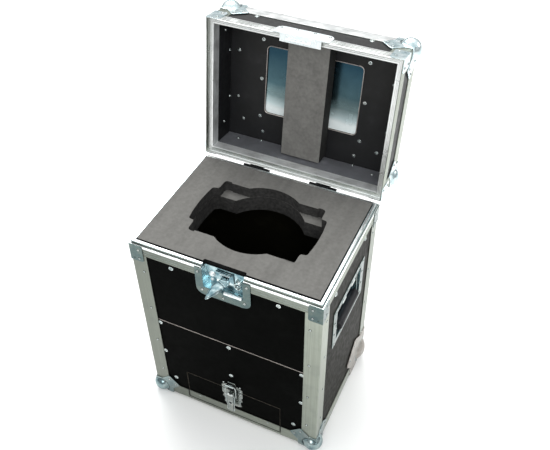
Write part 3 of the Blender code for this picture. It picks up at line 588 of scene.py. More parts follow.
# ---- extrusions
def ring(profile, base):
    """A mitred frame round the case from (inset, height) points in millimetres."""
    bm = bmesh.new()
    loops = [[bm.verts.new((sx * (HALF_W - inset * MM), sy * (HALF_D - inset * MM), base + height * MM))
              for inset, height in profile] for sx, sy in ((-1, -1), (1, -1), (1, 1), (-1, 1))]
    for here, there in zip(loops, loops[1:] + loops[:1]):
        for i in range(len(profile)):
            j = (i + 1) % len(profile)
            bm.faces.new((here[i], here[j], there[j], there[i]))
    bmesh.ops.recalc_face_normals(bm, faces=bm.faces)
    return bm


def run_of(face):
    """1 where a frame's side runs along y, told from where the face lies; 0 along x."""
    spot = face.calc_center_median()
    return int(HALF_W - abs(spot.x) < HALF_D - abs(spot.y))


def inset_of(face):
    """How far inside the case's upright faces a face of a frame lies."""
    spot = face.calc_center_median()
    return min(HALF_W - abs(spot.x), HALF_D - abs(spot.y))


def ribbed(low, high):
    """Points up a face with shallow grooves between its ribs, as (inset, height) in millimetres."""
    ribs, depth = 4, 0.55
    pitch = (high - low) / ribs
    points = []
    for k in range(ribs):
        foot = low + k * pitch
        points += [(0, foot + 0.5), (0, foot + pitch - 1.3)]
        if k < ribs - 1:
            points += [(depth, foot + pitch - 0.9), (depth, foot + pitch + 0.1)]
    return points


SHOULDER = 0.6 * MM         # the body rim's leg begins this far below the joint
RIB_FACE = 0.3 * MM         # the ribs' faces are shallower than this, the grooves deeper
PAINTED_HIGHLIGHT_RIBS = 6 * MM        # depth of the painted highlight at the top of the outer leg
TONGUE_FOOT = 4 * MM        # where the tongue's rounded top begins, above the joint
TONGUE_FLAT = (3.9 * MM, 8.9 * MM)


def body_rim_tone(face):
    """0 and 1 plain, 2 and 3 painted highlight, 4 and 5 the outer leg in painted shade, 6 painted shade in the
    grooves and on the tongue's rounded edges.
    """
    height, inset, run = face.calc_center_median().z - RIM, inset_of(face), run_of(face)
    on_leg = height < -SHOULDER
    if on_leg and RIB_FACE < inset < 3 * MM:
        return 6
    if height > TONGUE_FOOT and not TONGUE_FLAT[0] < inset < TONGUE_FLAT[1]:
        return 6
    if on_leg and inset < RIB_FACE and height > -PAINTED_HIGHLIGHT_RIBS:
        return run + 2
    if on_leg and face.normal.z < 0.9:
        return run + 4
    return run + 2 * (not on_leg and face.normal.z > 0.4)


def build_body_rim():
    """Tongue extrusion: ribbed outer leg, shoulder, groove and the broad tongue."""
    profile = [(0.5, -25.0)] + ribbed(-25.0, 0.4) + [
        (0.1, -0.5), (0.3, -0.15), (0.6, 0.0), (1.5, 0.0), (1.5, -1.7), (2.9, -1.7), (3.0, 0.0),
        (3.0, 4.3), (3.2, 5.1), (4.0, 5.6), (6.3, 5.75), (8.4, 5.6), (9.4, 5.1), (9.9, 4.2),
        (9.9, -3.0), (1.5, -3.0), (1.5, -25.0)]
    below, above, clear = 50 * MM, 20 * MM, 1.5 * MM
    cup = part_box("latch_dish")[1].x - 14.2 * MM
    slots = [block((-cup, -HALF_D - MM, RIM - below), (cup, -HALF_D + 12 * MM, RIM + above))]
    for side, _ in SIDES:
        low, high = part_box("hinge_body_leaf_" + side)
        slots.append(block((low.x - clear, HALF_D - 4 * MM, RIM - 0.05 * MM),
                           (high.x + clear, HALF_D + MM, RIM + above)))
    bm = carve(ring(profile, RIM), slots)
    for face in bm.faces:
        face.material_index = body_rim_tone(face)
    tones = [finish[axis] for finish in (ALUMINIUM, ALUMINIUM_PAINTED_HIGHLIGHT, ALUMINIUM_PAINTED_SHADE) for axis in "xy"] + [RIM_PAINTED_SHADE]
    add_piece("body_rim_extrusion", bm, "case_body", tones, ("body_rim",))


def lid_rim_tone(face):
    """0 and 1 plain, 2 and 3 painted highlight on the web and the front skirt, 4 and 5 painted light on the inner
    leg.
    """
    inset, run = inset_of(face), run_of(face)
    level = abs(face.normal.z) > 0.5
    if inset > 11.5 * MM and not level:
        return run + 4
    front_skirt = face.normal.y < -0.7 and inset < 2 * MM
    return run + 2 * (level and inset > MM or front_skirt)


def build_lid_rim():
    """Groove extrusion: ribbed skirt, ridged web in the groove and the inner leg."""
    profile = [(0.3, 0.4), (1.2, 0.4), (1.6, 0.9), (1.6, 8.2), (1.8, 8.4)]
    for foot in (3.4, 6.0, 8.6):
        profile += [(foot, 8.4), (foot + 0.2, 7.5), (foot + 0.8, 7.5), (foot + 1.0, 8.4)]
    profile += [(12.2, 8.4), (12.6, 8.8), (12.6, 33.0), (12.3, 33.4), (11.1, 33.4), (11.1, 9.9),
                (1.5, 9.9), (1.5, 25.4), (0.5, 25.4)]
    profile += reversed(ribbed(0.4, 25.8))
    half = shut_box("latch_keeper")[1].x - 15.2 * MM
    slot = block((-half, -HALF_D - MM, RIM - MM), (half, -HALF_D + 2 * MM, RIM + 2.6 * MM))
    bm = carve(ring(profile, RIM), [slot])
    for face in bm.faces:
        face.material_index = lid_rim_tone(face)
    tones = [finish[axis] for finish in (ALUMINIUM, ALUMINIUM_PAINTED_HIGHLIGHT, ALUMINIUM_PAINTED_LIGHT) for axis in "xz"]
    add_piece("lid_rim_extrusion", bm, "lid", tones, ("lid_rim",))


def angle_outline(u, v, su, sv):
    """Section of an edge angle: its rounded outer corner at (u, v), its legs towards -su and -sv."""
    bend = reversed(arc((-FOLD, -FOLD), FOLD, 0, 90, 5))
    points = [(-LEG, 0), *bend, (0, -LEG), (-SHEET, -LEG), (-SHEET, -SHEET), (-LEG, -SHEET)]
    return [(u + a * su, v + b * sv) for a, b in points]


def hatch_cutout():
    """The part of the front bottom angle that makes way for the hatch's sill strip."""
    low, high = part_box("hatch_sill_strip")
    gap = 3 * MM
    return block((low.x - gap, -HALF_D - MM, 7.2 * MM),
                 (high.x + gap, -HALF_D + 1.8 * MM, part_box("bottom_angle_front")[1].z + MM))


def build_edge_angles():
    """The upright angles at the corners, and the four along the bottom."""
    for corner, sx, sy in CORNERS:
        node = "corner_angle_" + corner
        low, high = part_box(node)
        bm = prism(angle_outline(sx * HALF_W, sy * HALF_D, sx, sy), "z", low.z, high.z)
        # painted shade: the back corner angles take the darker aluminium copy
        add_bar(node + "_bar", bm, "case_body", (ALUMINIUM if sy < 0 else ALUMINIUM_PAINTED_SHADE)["z"], (node,))
    for names, axis, half in ((SIDES, "y", HALF_W), (ENDS, "x", HALF_D)):
        for name, way in names:
            node = "bottom_angle_" + name
            low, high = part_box(node)
            start, end = getattr(low, axis), getattr(high, axis)
            bm = prism(angle_outline(way * half, low.z, way, -1), axis, start, end)
            if name == "front":
                bm = carve(bm, [hatch_cutout()])
            add_bar(node + "_bar", bm, "case_body", ALUMINIUM[axis], (node,))


def build_lid_angles():
    """The lid's top edge angles, mitred, and the short posts below them."""
    leg, fold, sheet = LEG / MM, FOLD / MM, SHEET / MM
    profile = [(0, -leg + 0.3), *arc((fold, -fold), fold, 180, 90, 4), (leg, 0), (leg, -sheet),
               (sheet, -sheet), (sheet, -leg), (0.3, -leg)]
    bm = ring(profile, TOP)
    for face in bm.faces:
        # painted highlight: the forward faces of the lid's top angles take the near-white copy
        face.material_index = run_of(face) + 2 * (face.normal.y < -0.7)
    tones = [finish[axis] for finish in (ALUMINIUM, ALUMINIUM_PAINTED_HIGHLIGHT) for axis in "xz"]
    add_piece("lid_edge_angles", bm, "lid", tones, ("lid_edge_frame",))
    for corner, sx, sy in CORNERS:
        outline = angle_outline(sx * HALF_W, sy * HALF_D, sx, sy)
        post = prism(outline, "z", RIM + RIM_LEG + 0.4 * MM, TOP - LEG + 0.2 * MM)
        add_bar("lid_post_" + corner, post, "lid", ALUMINIUM["y"])


def build_trims():
    """The joining strip's lip, the hatch's sill strip, and black sheets as painted shade in the gaps round it."""
    low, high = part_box("joining_strip")
    middle, lip = (low.z + high.z) / 2, 0.5 * MM
    strip = soften(block((low.x, low.y, middle - lip), (high.x, high.y, middle + lip)), 0.2 * MM, 2)
    add_piece("joining_strip_bar", strip, "case_body", STRIP, ("joining_strip",))
    refined("hatch_sill_strip", 0.3 * MM, ALUMINIUM["x"])
    # painted shade: the hatch hinge's barrel is made black
    barrel = frame["nodes"]["hatch_hinge_barrel"].data.materials
    barrel.clear()
    barrel.append(PAINTED_SHADE_BLACK)
    low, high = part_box("hatch_sill_strip")
    near, far = 0.9 * MM, 3.4 * MM      # a gap's edges, from the strip's end
    top, under = high.z + 0.2 * MM, low.z - 2.6 * MM
    gap_shade = bmesh.new()
    for left, right, upper in ((low.x - far, low.x - near, top), (high.x + near, high.x + far, top),
                               (low.x - far, high.x + far, under)):
        block((left, -HALF_D + 1.55 * MM, 6.6 * MM), (right, -HALF_D + 1.75 * MM, upper), gap_shade)
    add_piece("hatch_sill_shadow", gap_shade, "case_body", PAINTED_SHADE_BLACK)


# ---- hardware
def tube(path, radius, sides=10, closed=False, bm=None):
    """A round wire swept along points, with flat ends."""
    bm = bm or bmesh.new()
    points = [Vector(p) for p in path]
    count = len(points)
    rows = []
    side = None
    for k, point in enumerate(points):
        ahead = points[(k + 1) % count] if closed else points[min(k + 1, count - 1)]
        behind = points[k - 1] if closed or k else points[0]
        run = (ahead - behind).normalized()
        side = side or run.orthogonal()
        side = (side - run * side.dot(run)).normalized()
        across = run.cross(side)
        rows.append([bm.verts.new(point + radius * (side * math.cos(t) + across * math.sin(t)))
                     for t in (2 * math.pi * n / sides for n in range(sides))])
    faces = []
    for k in range(count if closed else count - 1):
        here, there = rows[k], rows[(k + 1) % count]
        for n in range(sides):
            m = (n + 1) % sides
            faces.append(bm.faces.new((here[n], here[m], there[m], there[n])))
    if not closed:
        faces += [bm.faces.new(rows[0]), bm.faces.new(rows[-1])]
    bmesh.ops.recalc_face_normals(bm, faces=faces)
    return bm


def bent(route, radius, steps=6):
    """Straight runs joined by round bends."""
    points = [Vector(p) for p in route]
    path = [points[0]]
    for before, corner, after in zip(points, points[1:], points[2:]):
        start = corner + (before - corner).normalized() * radius
        end = corner + (after - corner).normalized() * radius
        for k in range(steps + 1):
            t = k / steps
            path.append(start * (1 - t) ** 2 + corner * 2 * t * (1 - t) + end * t ** 2)
    return path + [points[-1]]


def coil(centre, axis, radius, wire, pitch, turns, steps=14):
    """A close-wound spring whose middle is at the centre."""
    turn = Vector(axis).to_track_quat("Z", "Y").to_matrix()
    path = []
    for k in range(turns * steps + 1):
        angle = 2 * math.pi * k / steps
        height = pitch * (k / steps - turns / 2)
        spot = Vector((radius * math.cos(angle), radius * math.sin(angle), height))
        path.append(Vector(centre) + turn @ spot)
    return tube(path, wire, 8)


def rivet(bm, spot, normal, radius, washer):
    """A blind rivet: a domed head with the broken stem's dimple in it, on a washer or bare."""
    rise = 0.62 * radius
    if washer:
        turned(bm, [(0, 0.8), (washer - 0.8, 0.8), (washer - 0.2, 0.6), (washer, 0.2), (washer, -0.2)],
               spot, normal, 20)
        spot = Vector(spot) + 0.7 * MM * Vector(normal)
    else:
        # painted shade: a flat dark ring round a bare rivet's head
        shadow_ring = radius + 0.6
        turned(bm, [(0, 0.08), (shadow_ring, 0.08), (shadow_ring, -0.1)], spot, normal, 16, 2)
    dome = ((0, 0.35), (0.24, 0.4), (0.33, 0.95), (0.5, 1), (0.75, 0.8), (0.93, 0.42), (1, 0))
    turned(bm, [(u * radius, v * rise) for u, v in dome] + [(radius, -0.3)], spot, normal, 16, 1)


def both(*spots):
    """Spots given in millimetres on the right, and the same on the left."""
    return [(side * u * MM, v * MM) for u, v in spots for side in (-1, 1)]


def rivets(name, body, rows):
    """One piece of many rivets. A row is (axis, side, distance, spots, radius, washer), the last two in
    millimetres, and a washer's radius of 0 means that there is none."""
    bm = bmesh.new()
    for axis, side, distance, spots, radius, washer in rows:
        normal = [side * float(a == axis) for a in "xyz"]
        for spot in spots:
            rivet(bm, lift(spot, axis, side * distance), normal, radius, washer)
    add_hardware(name, bm, [ZINC_RIVET, ZINC_STEM, PAINTED_SHADE_BLACK], body)


HEAD = 2.4          # rivets in metal
BROAD = 2.7         # rivets in boards
WASHER = 4.9
SMALL_WASHER = 3.9  # inside the lid


def build_body_rivets():
    """Rivets of the body's boards and edge angles, and of the hatch."""
    skin, side_skin = HALF_D - BOARD_BACK, HALF_W - BOARD_BACK
    front = both((113, 440.2), (162, 253.2), (162, 155.2), (146, 62.2))
    front += [(0, 253.2 * MM), (0, 155.2 * MM)]
    back = both((113, 420), (160, 330), (160, 150), (0, 330), (0, 150), (113, 50))
    rivets("front_rivets", "case_body", [("y", -1, skin, front, BROAD, WASHER)])
    rivets("back_rivets", "case_body", [("y", 1, skin, back, BROAD, WASHER)])
    for name, side in SIDES:
        rivets(name + "_rivets", "case_body", [("x", side, side_skin, both((80, 442.2)), BROAD, WASHER)])
    rivets("hatch_rivets", "hatch", [("y", -1, HALF_D, both((85, 27.7)), HEAD, 0)])
    heights = (82.2, 188.2, 296.2, 405.2)
    ends = both(*[(177, z) for z in heights])
    flanks = both(*[(HALF_D / MM - 23, z + 12) for z in heights], (60, 15))
    rivets("corner_angle_rivets", "case_body",
           [("y", way, HALF_D, ends, HEAD, 0) for way in (-1, 1)]
           + [("x", way, HALF_W, flanks, HEAD, 0) for way in (-1, 1)]
           + [("y", 1, HALF_D, both((70, 15)), HEAD, 0)])


def build_lid_rivets():
    """Rivets of the lid, outside and inside."""
    skin, side_skin = HALF_D - BOARD_BACK, HALF_W - BOARD_BACK
    flanks = [(-62 * MM, 554.2 * MM), (46 * MM, 560.2 * MM)]
    top = both((150, 138), (110, -138), (30, 138), (30, -138))
    rivets("lid_outside_rivets", "lid",
           [("x", way, side_skin, flanks, BROAD, WASHER) for way in (-1, 1)]
           + [("y", -1, skin, both((120, 540)), BROAD, WASHER), ("z", 1, TOP, top, HEAD, 0)])
    around = both((115, -93), (115, -7), (115, 80), (170, -59), (170, 46), (155, 97), (107, 117))
    walls = [(y * MM, z * MM) for y, z in ((-106, 541.2), (-56, 562.2), (51, 566.2), (102, 541.2))]
    back = both((157, 549.2), (108, 565.2))
    wall_x, wall_y = -shut_box("lid_right_panel")[0].x, shut_box("lid_back_panel")[0].y
    rivets("lid_inside_rivets", "lid",
           [("z", -1, -shut_box("lid_top_panel")[0].z, around, HEAD, SMALL_WASHER)]
           + [("x", way, wall_x, walls, HEAD, SMALL_WASHER) for way in (-1, 1)]
           + [("y", -1, -wall_y, back, HEAD, SMALL_WASHER)])


def brace_plate(axis, edge, corner, low, high, inner, outer):
    """One leg of a brace: its free corners rounded, from a free edge to the case's corner."""
    radius, way = 5 * MM, math.copysign(1, corner - edge)
    outline = [(corner, low), (corner, high)]
    outline += [(edge + way * (radius + u), v) for u, v in arc((0, high - radius), radius, 90, 180)]
    outline += [(edge + way * (radius + u), v) for u, v in arc((0, low + radius), radius, 180, 270)]
    return prism(outline, axis, inner, outer)


def brace(sx, sy, low, high, hole):
    """A folded plate over one upright corner, with a small hole in each leg."""
    wide, gap, aside, drill, deep = 28 * MM, 0.05 * MM, 8 * MM, 1.5 * MM, 4 * MM
    x, y, out = sx * HALF_W, sy * HALF_D, BRACE_OUT
    front = brace_plate("y", x - sx * wide, x + sx * out, low, high, y + sy * gap, y + sy * out)
    flank = brace_plate("x", y - sy * wide, y + sy * out, low, high, x + sx * gap, x + sx * out)
    holes = [prism(arc((x - sx * aside, hole), drill, 0, 330, 11), "y", y - deep, y + deep),
             prism(arc((y - sy * aside, hole), drill, 0, 330, 11), "x", x - deep, x + deep)]
    return soften(carve(carve(front, [flank], "UNION"), holes), 0.25 * MM, 2)


BRACE_OUT = 1.25 * MM       # the braces' faces stand out this far from the case's


def build_braces():
    """Folded plates over the four upright corners, above and below the joint."""
    height, near, far, row = 41.7 * MM, 11 * MM, 34 * MM, 19 * MM
    for prefix, body, joint, way in (("body", "case_body", RIM - 0.3 * MM, -1),
                                     ("lid", "lid", RIM + 0.8 * MM, 1)):
        low, high = sorted((joint, joint + way * height))
        levels = [joint + way * near, joint + way * far]
        rows = []
        for corner, sx, sy in CORNERS:
            bm = brace(sx, sy, low, high, levels[1] + way * MM)
            add_hardware(prefix + "_brace_" + corner, bm, ZINC_LID_PAINTED_LIGHT if body == "lid" else ZINC, body)
            rows.append(("y", sy, HALF_D + BRACE_OUT, [(sx * (HALF_W - row), z) for z in levels], HEAD, 0))
            rows.append(("x", sx, HALF_W + BRACE_OUT, [(sy * (HALF_D - row), z) for z in levels], HEAD, 0))
        rivets(prefix + "_brace_rivets", body, rows)


BALL_STAND = 7.5 * MM       # how far the balls stand out below the bottom angles
CORNER_SKIN = 1.8 * MM      # how far the corners' plates stand out


def lobed(arm, lobe, top):
    """A ball corner's plate on one face, in distances from the corner, reaching past the edges by top."""
    shoulder, slope, ease = 0.36 * arm, 0.6 * lobe, 0.05 * arm
    return [(top, top), (top, -arm + ease), (-ease, -arm), (-shoulder, -arm), (-slope + ease, -lobe),
            (-slope - ease, -lobe), (-lobe, -slope - ease), (-lobe, -slope + ease), (-arm, -shoulder),
            (-arm, -ease), (-arm + ease, top)]


def globe(radius, centre):
    bm = bmesh.new()
    bmesh.ops.create_uvsphere(bm, u_segments=48, v_segments=28, radius=radius)
    bmesh.ops.translate(bm, vec=centre, verts=bm.verts)
    return bm


def ball_corner_mesh(radius, inset, arm, lobe, voxel):
    """A pressed ball corner for a box that fills the negative octant: three wings and a ball in a shallow ring.
    Its faces are 0 on the wings, 1 in the ring and 2 on the ball, so that the ring can be given painted shade."""
    deep, moat, sink = 7 * MM, 0.15 * radius, 1.2 * MM
    centre = Vector((-inset, -inset, BALL_STAND - radius))
    wings = [prism(lobed(arm, lobe, CORNER_SKIN), axis, -deep, CORNER_SKIN) for axis in "xyz"]
    shape = scratch(carve(wings[2], wings[:2] + [globe(radius - 0.3 * MM, centre)], "UNION"))
    step = shape.modifiers.new("skin", "REMESH")
    step.mode = "VOXEL"
    step.voxel_size = voxel
    step = shape.modifiers.new("press", "SMOOTH")
    step.factor = 0.5
    step.iterations = 5
    pressed = settled(shape)
    for vert in pressed.verts:
        share = ((vert.co - centre).length - radius) / moat
        outward = max(range(3), key=lambda k: vert.co[k])
        if 0 < share < 1 and vert.co[outward] > 0.5 * MM:
            vert.co[outward] -= sink * math.sin(math.pi * share)
    inside = 0.3 * MM
    far = -2 * lobe
    shell = scratch(carve(pressed, [block((far, far, far), (inside, inside, inside))]))
    step = shell.modifiers.new("lighten", "DECIMATE")
    step.ratio = 0.22
    bpy.context.view_layer.update()
    graph = bpy.context.evaluated_depsgraph_get()
    result = bpy.data.meshes.new_from_object(shell.evaluated_get(graph))
    bpy.data.objects.remove(shell, do_unlink=True)
    for face in result.polygons:
        reach = (face.center - centre).length
        face.material_index = 2 if reach < radius + 0.1 * moat else int(reach < radius + 0.8 * moat)
    return result


def build_ball_corners():
    """Ball corners, and the larger ones at the bottom of the back."""
    common = ball_corner_mesh(22 * MM, 10.5 * MM, 42 * MM, 60 * MM, 0.7 * MM)
    heel = ball_corner_mesh(36 * MM, 23 * MM, 90 * MM, 114 * MM, 1.1 * MM)
    for prefix, body, z, sz in (("base", "case_body", FOOT, -1), ("lid", "lid", TOP, 1)):
        rows = []
        for corner, sx, sy in CORNERS:
            # painted shade in the ring round each ball; the body's front corners also get a paler ball as painted
            # light
            pattern, near, far, finish = common, 36 * MM, 50 * MM, [ZINC_CORNER, ZINC_PAINTED_SHADE, ZINC_BALL_PAINTED_LIGHT]
            if prefix == "lid":
                finish = [ZINC_LID_PAINTED_LIGHT, ZINC_CORNER, ZINC_LID_PAINTED_LIGHT]
            elif sy > 0:
                pattern, near, far, finish = heel, 72 * MM, 98 * MM, [ZINC_HEEL, ZINC_CORNER, ZINC_HEEL]
            bm = bmesh.new()
            bm.from_mesh(pattern)
            bmesh.ops.scale(bm, vec=(sx, sy, sz), verts=bm.verts)
            bmesh.ops.translate(bm, vec=(sx * HALF_W, sy * HALF_D, z), verts=bm.verts)
            bmesh.ops.recalc_face_normals(bm, faces=bm.faces)
            node = prefix + "_ball_corner_" + corner
            add_piece(node + "_pressed", bm, body, finish, (node,), smooth=50)
            for a, b in ((near, far), (far, near)):
                x, y, level = sx * (HALF_W - a), sy * (HALF_D - a), z - sz * b
                rows.append(("y", sy, HALF_D + CORNER_SKIN, [(x, level)], HEAD, 0))
                rows.append(("x", sx, HALF_W + CORNER_SKIN, [(y, level)], HEAD, 0))
                rows.append(("z", sz, sz * z + CORNER_SKIN, [(x, sy * (HALF_D - b))], HEAD, 0))
        rivets(prefix + "_corner_rivets", body, rows)


def build_latch():
    """The latch's dish with its stop and spring, the knob and its wings, the hook and the keeper."""
    cupped("latch_dish", 0.7 * MM, lambda spot: spot.y > -HALF_D + 0.5 * MM)
    refined("latch_hook", 0.35 * MM, ZINC_PAINTED_LIGHT)
    refined("latch_keeper", 0.6 * MM, ZINC_PAINTED_WHITE)
    low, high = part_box("latch_dish")
    back, out = high.y - 1.2 * MM, (0, -1, 0)
    spots = both((51, 464.2), (45, 416.9)) + [(0, 411.6 * MM)]
    rivets("latch_rivets", "case_body", [("y", -1, -low.y, spots, 2.9, 0)])
    spots = both((50, 503), (18, 506))
    rivets("keeper_rivets", "lid", [("y", -1, -shut_box("latch_keeper")[0].y, spots, HEAD, 0)])

    knob = [(0, 1.3), (1.5, 1.4), (1.9, 2.5), (3.4, 2.6), (4.5, 1.9), (5, 0.8), (5, -2), (6.4, -2), (7, -2.6),
            (7, -6.5), (4, -6.5), (4, -12.4), (0, -12.4)]
    bm = bmesh.new()
    turned(bm, knob, JOINT["latch_turn"]["pos_m"], out, 28)
    add_hardware("latch_knob_turned", bm, ZINC_PAINTED_LIGHT, "latch_knob", ("latch_knob",))
    build_wing("latch_wing_lower", "lower_wing_fold")
    build_wing("latch_wing_upper", "upper_wing_fold")

    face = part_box("latch_hook")[1].y
    for k, (z, reach) in enumerate(((467.2, 14), (463.4, 10.5))):
        rib = block((-reach * MM, face - 2.7 * MM, (z - 1.3) * MM),
                    (reach * MM, face - 1.4 * MM, (z + 1.3) * MM))
        add_hardware("latch_hook_rib_%d" % k, soften(rib, 0.6 * MM), ZINC_PAINTED_WHITE, "latch_hook")
    lip = block((0.5 * MM, low.y - 0.4 * MM, low.z + 18.4 * MM), (39 * MM, low.y + 5 * MM, low.z + 24.8 * MM))
    add_hardware("latch_lip_bar", soften(lip, 1.8 * MM, 4), ZINC_PAINTED_WHITE)
    bm = bmesh.new()
    large = [(0, 5.0), (3.2, 4.6), (5.6, 3.3), (6.9, 1.2), (7.1, -0.2)]
    small = [(0, 3.2), (2.0, 2.9), (3.2, 1.8), (3.6, -0.2)]
    turned(bm, large, (-28 * MM, back, 454 * MM), out, 24)
    turned(bm, small, (-29 * MM, back, 439 * MM), out, 24)
    add_hardware("latch_stop_domes", bm, ZINC_PAINTED_WHITE)
    spring = coil((28 * MM, back - 4.2 * MM, 449 * MM), out, 7.0 * MM, 1.2 * MM, 2.6 * MM, 3)
    add_hardware("latch_spring", spring, ZINC_RIVET)


WING_RAISE = math.radians(20)       # how far the wings stand out at rest
WING_EDGE = ((0, 7.6), (0.1, 9.6), (0.28, 10.2), (0.5, 8.0), (0.75, 5.2), (0.92, 3.4), (1, 0.8))


def width_at(along):
    """Half the wing's width in millimetres, along it from 0 to 1."""
    for (x0, y0), (x1, y1) in zip(WING_EDGE, WING_EDGE[1:]):
        if along <= x1:
            share = (along - x0) / (x1 - x0)
            share = share * share * (3 - 2 * share)
            return y0 + (y1 - y0) * share
    return WING_EDGE[-1][1]


def build_wing(node, joint):
    """A pressed wing with curled edges and a rolled knuckle round its pin."""
    root, across = Vector(JOINT[joint]["pos_m"]), Vector(JOINT[joint]["axis"])
    out = Vector((0, -1, 0))
    flat = out.cross(across)
    run = flat * math.cos(WING_RAISE) + out * math.sin(WING_RAISE)
    face = out * math.cos(WING_RAISE) - flat * math.sin(WING_RAISE)
    reach, columns, rows = 45 * MM, 26, 12
    bm = bmesh.new()
    grid = []
    for i in range(columns + 1):
        along = i / columns
        line = []
        for j in range(rows + 1):
            side = 2 * j / rows - 1
            curl = 2.2 * MM * max(0.0, (abs(side) - 0.55) / 0.45) ** 2
            tip = 2.4 * MM * max(0.0, (along - 0.85) / 0.15) ** 2
            dish = -0.7 * MM * math.sin(math.pi * min(1.0, along * 1.2)) * (1 - side * side)
            line.append(bm.verts.new(root + run * reach * along + across * side * width_at(along) * MM
                                     + face * (curl + tip + dish)))
        grid.append(line)
    for here, there in zip(grid, grid[1:]):
        for j in range(rows):
            bm.faces.new((here[j], here[j + 1], there[j + 1], there[j]))
    bmesh.ops.recalc_face_normals(bm, faces=bm.faces)
    bmesh.ops.solidify(bm, geom=bm.faces[:], thickness=1.1 * MM)
    bmesh.ops.recalc_face_normals(bm, faces=bm.faces)
    tube([root - across * 7.4 * MM, root + across * 7.4 * MM], 1.7 * MM, 16, bm=bm)
    add_hardware(node + "_pressed", bm, ZINC_PAINTED_LIGHT, BODY_OF[node], (node,), smooth=50)


GRIP = ((0.0, 0.5), (3.0, 0.5), (3.4, 0.0), (9.4, 0.0), (10.2, 0.8), (10.5, 2.2), (10.5, 3.4), (9.9, 3.9),
        (9.9, 4.7), (10.5, 5.2), (10.5, 6.6), (9.9, 7.1), (9.9, 7.9), (10.5, 8.4))  # radius, from its end


def build_bail(side):
    """A handle's bent rod and its rubber grip."""
    body = side + "_handle"
    pin = Vector(JOINT[body + "_lift"]["pos_m"])
    low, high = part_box(body + "_grip")
    middle = (low + high) / 2
    bend, stub = high.y + 7 * MM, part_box(body + "_bail")[1].y
    route = [(pin.x, -stub, pin.z), (pin.x, -bend, pin.z), (middle.x, -bend, middle.z),
             (middle.x, bend, middle.z), (pin.x, bend, pin.z), (pin.x, stub, pin.z)]
    add_hardware(body + "_rod", tube(bent(route, 3 * MM), 2.5 * MM, 14), ZINC, body, (body + "_bail",))
    profile = [(radius, high.y / MM - inset) for radius, inset in GRIP] + [(10.35, 20), (10.2, 0.0)]
    profile += [(radius, -height) for radius, height in reversed(profile[:-1])]
    bm = bmesh.new()
    turned(bm, profile, middle, (0, 1, 0), 36)
    add_piece(body + "_grip_moulded", bm, body, RUBBER, (body + "_grip",))


def build_handle_dish(side, sx):
    """The rivets of a handle's dish, and the ears, pin and springs that the bail turns on."""
    name = side + "_handle"
    pin = Vector(JOINT[name + "_lift"]["pos_m"])
    low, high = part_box(name + "_dish")
    row = [(y * MM, high.z - 6.4 * MM) for y in (-76, -58, -38, -12, 12, 38, 58, 76)]
    row += [(y * MM, low.z + 6.6 * MM) for y in (-76, -38, 0, 38, 76)]
    row += [(way * 76 * MM, z * MM) for way in (-1, 1) for z in (352, 318)]
    rivets(name + "_rivets", "case_body", [("x", sx, HALF_W, row, HEAD, 0)])
    inner, outer = sorted((sx * (HALF_W - 15.2 * MM), sx * (HALF_W - 4.4 * MM)))
    bm = bmesh.new()
    for y in (-36, -44, 36, 44):
        block((inner, (y - 0.7) * MM, pin.z - 4.6 * MM), (outer, (y + 0.7) * MM, pin.z + 7.4 * MM), bm)
    add_hardware(name + "_ears", soften(bm, 0.3 * MM, 2), ZINC)
    for k, way in enumerate((-1, 1)):
        spring = coil((pin.x, way * 25 * MM, pin.z), (0, 1, 0), 5.6 * MM, 1.1 * MM, 2.6 * MM, 7)
        add_hardware("%s_spring_%d" % (name, k), spring, ZINC_RIVET)
    rod = tube([(pin.x, way * 46 * MM, pin.z) for way in (-1, 1)], 2.2 * MM, 14)
    add_hardware(name + "_pin", rod, ZINC)


def build_handles():
    for side, sx in SIDES:
        cupped(side + "_handle_dish", 0.6 * MM, lambda spot: abs(spot.x) < HALF_W - 2.2 * MM)
        build_bail(side)
        build_handle_dish(side, sx)


def lever_outline(inset):
    """The lever's front: an upright oval that narrows to a tongue with a rounded end."""
    low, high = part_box("catch_lever")
    wide, slim, foot = high.x + 0.6 * MM - inset, 0.9 * high.x - inset, low.z + inset
    head, waist, hip = high.z - high.x, low.z + 20 * MM, low.z + 30 * MM
    side = [(wide, head), (wide, hip), (0.9 * wide, (waist + hip) / 2), (slim, waist)]
    heel = arc((slim - 3 * MM, foot + 3 * MM), 3 * MM, 0, -90, 4)
    half = arc((0, head), wide, 90, 0, 10)[:-1] + side + heel
    return half + [(-x, z) for x, z in reversed(half[1:])]


def build_lever():
    """The catch's lever: its pressed plate with a dark ring of painted shade round its boss, and a black sheet as
    painted shade in the hole at its head, inside a wire eye.
    """
    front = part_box("catch_lever")[0].y
    for name, inset, near, far, ease, finish in (
            ("plate", 0.2, 1.1, 3, 0.6, ZINC_RIVET), ("painted_shade_ring", 1.7, 0.95, 1.3, 0, ZINC_PAINTED_SHADE),
            ("boss", 3.4, 0.3, 1.4, 0.5, ZINC_CATCH)):
        bm = prism(lever_outline(inset * MM), "y", front + near * MM, front + far * MM)
        if ease:
            bm = soften(bm, ease * MM)
        node = ("catch_lever",) if name == "plate" else ()
        add_hardware("catch_lever_" + name, bm, finish, "catch_lever", node)
    # painted shade: a black sheet in the hole at the lever's head
    well = prism(rounded((-3.4 * MM, 66 * MM), (3.4 * MM, 74 * MM), MM, 3), "y", front + 0.2 * MM, front + MM)
    add_hardware("catch_lever_well", well, PAINTED_SHADE_BLACK, "catch_lever")
    outline = rounded((-3.9 * MM, 65.5 * MM), (3.9 * MM, 74.5 * MM), 1.5 * MM, 4)
    eye = tube([(x, front + 0.3 * MM, z) for x, z in outline], 0.65 * MM, 8, closed=True)
    add_hardware("catch_lever_eye", eye, ZINC_RIVET, "catch_lever")


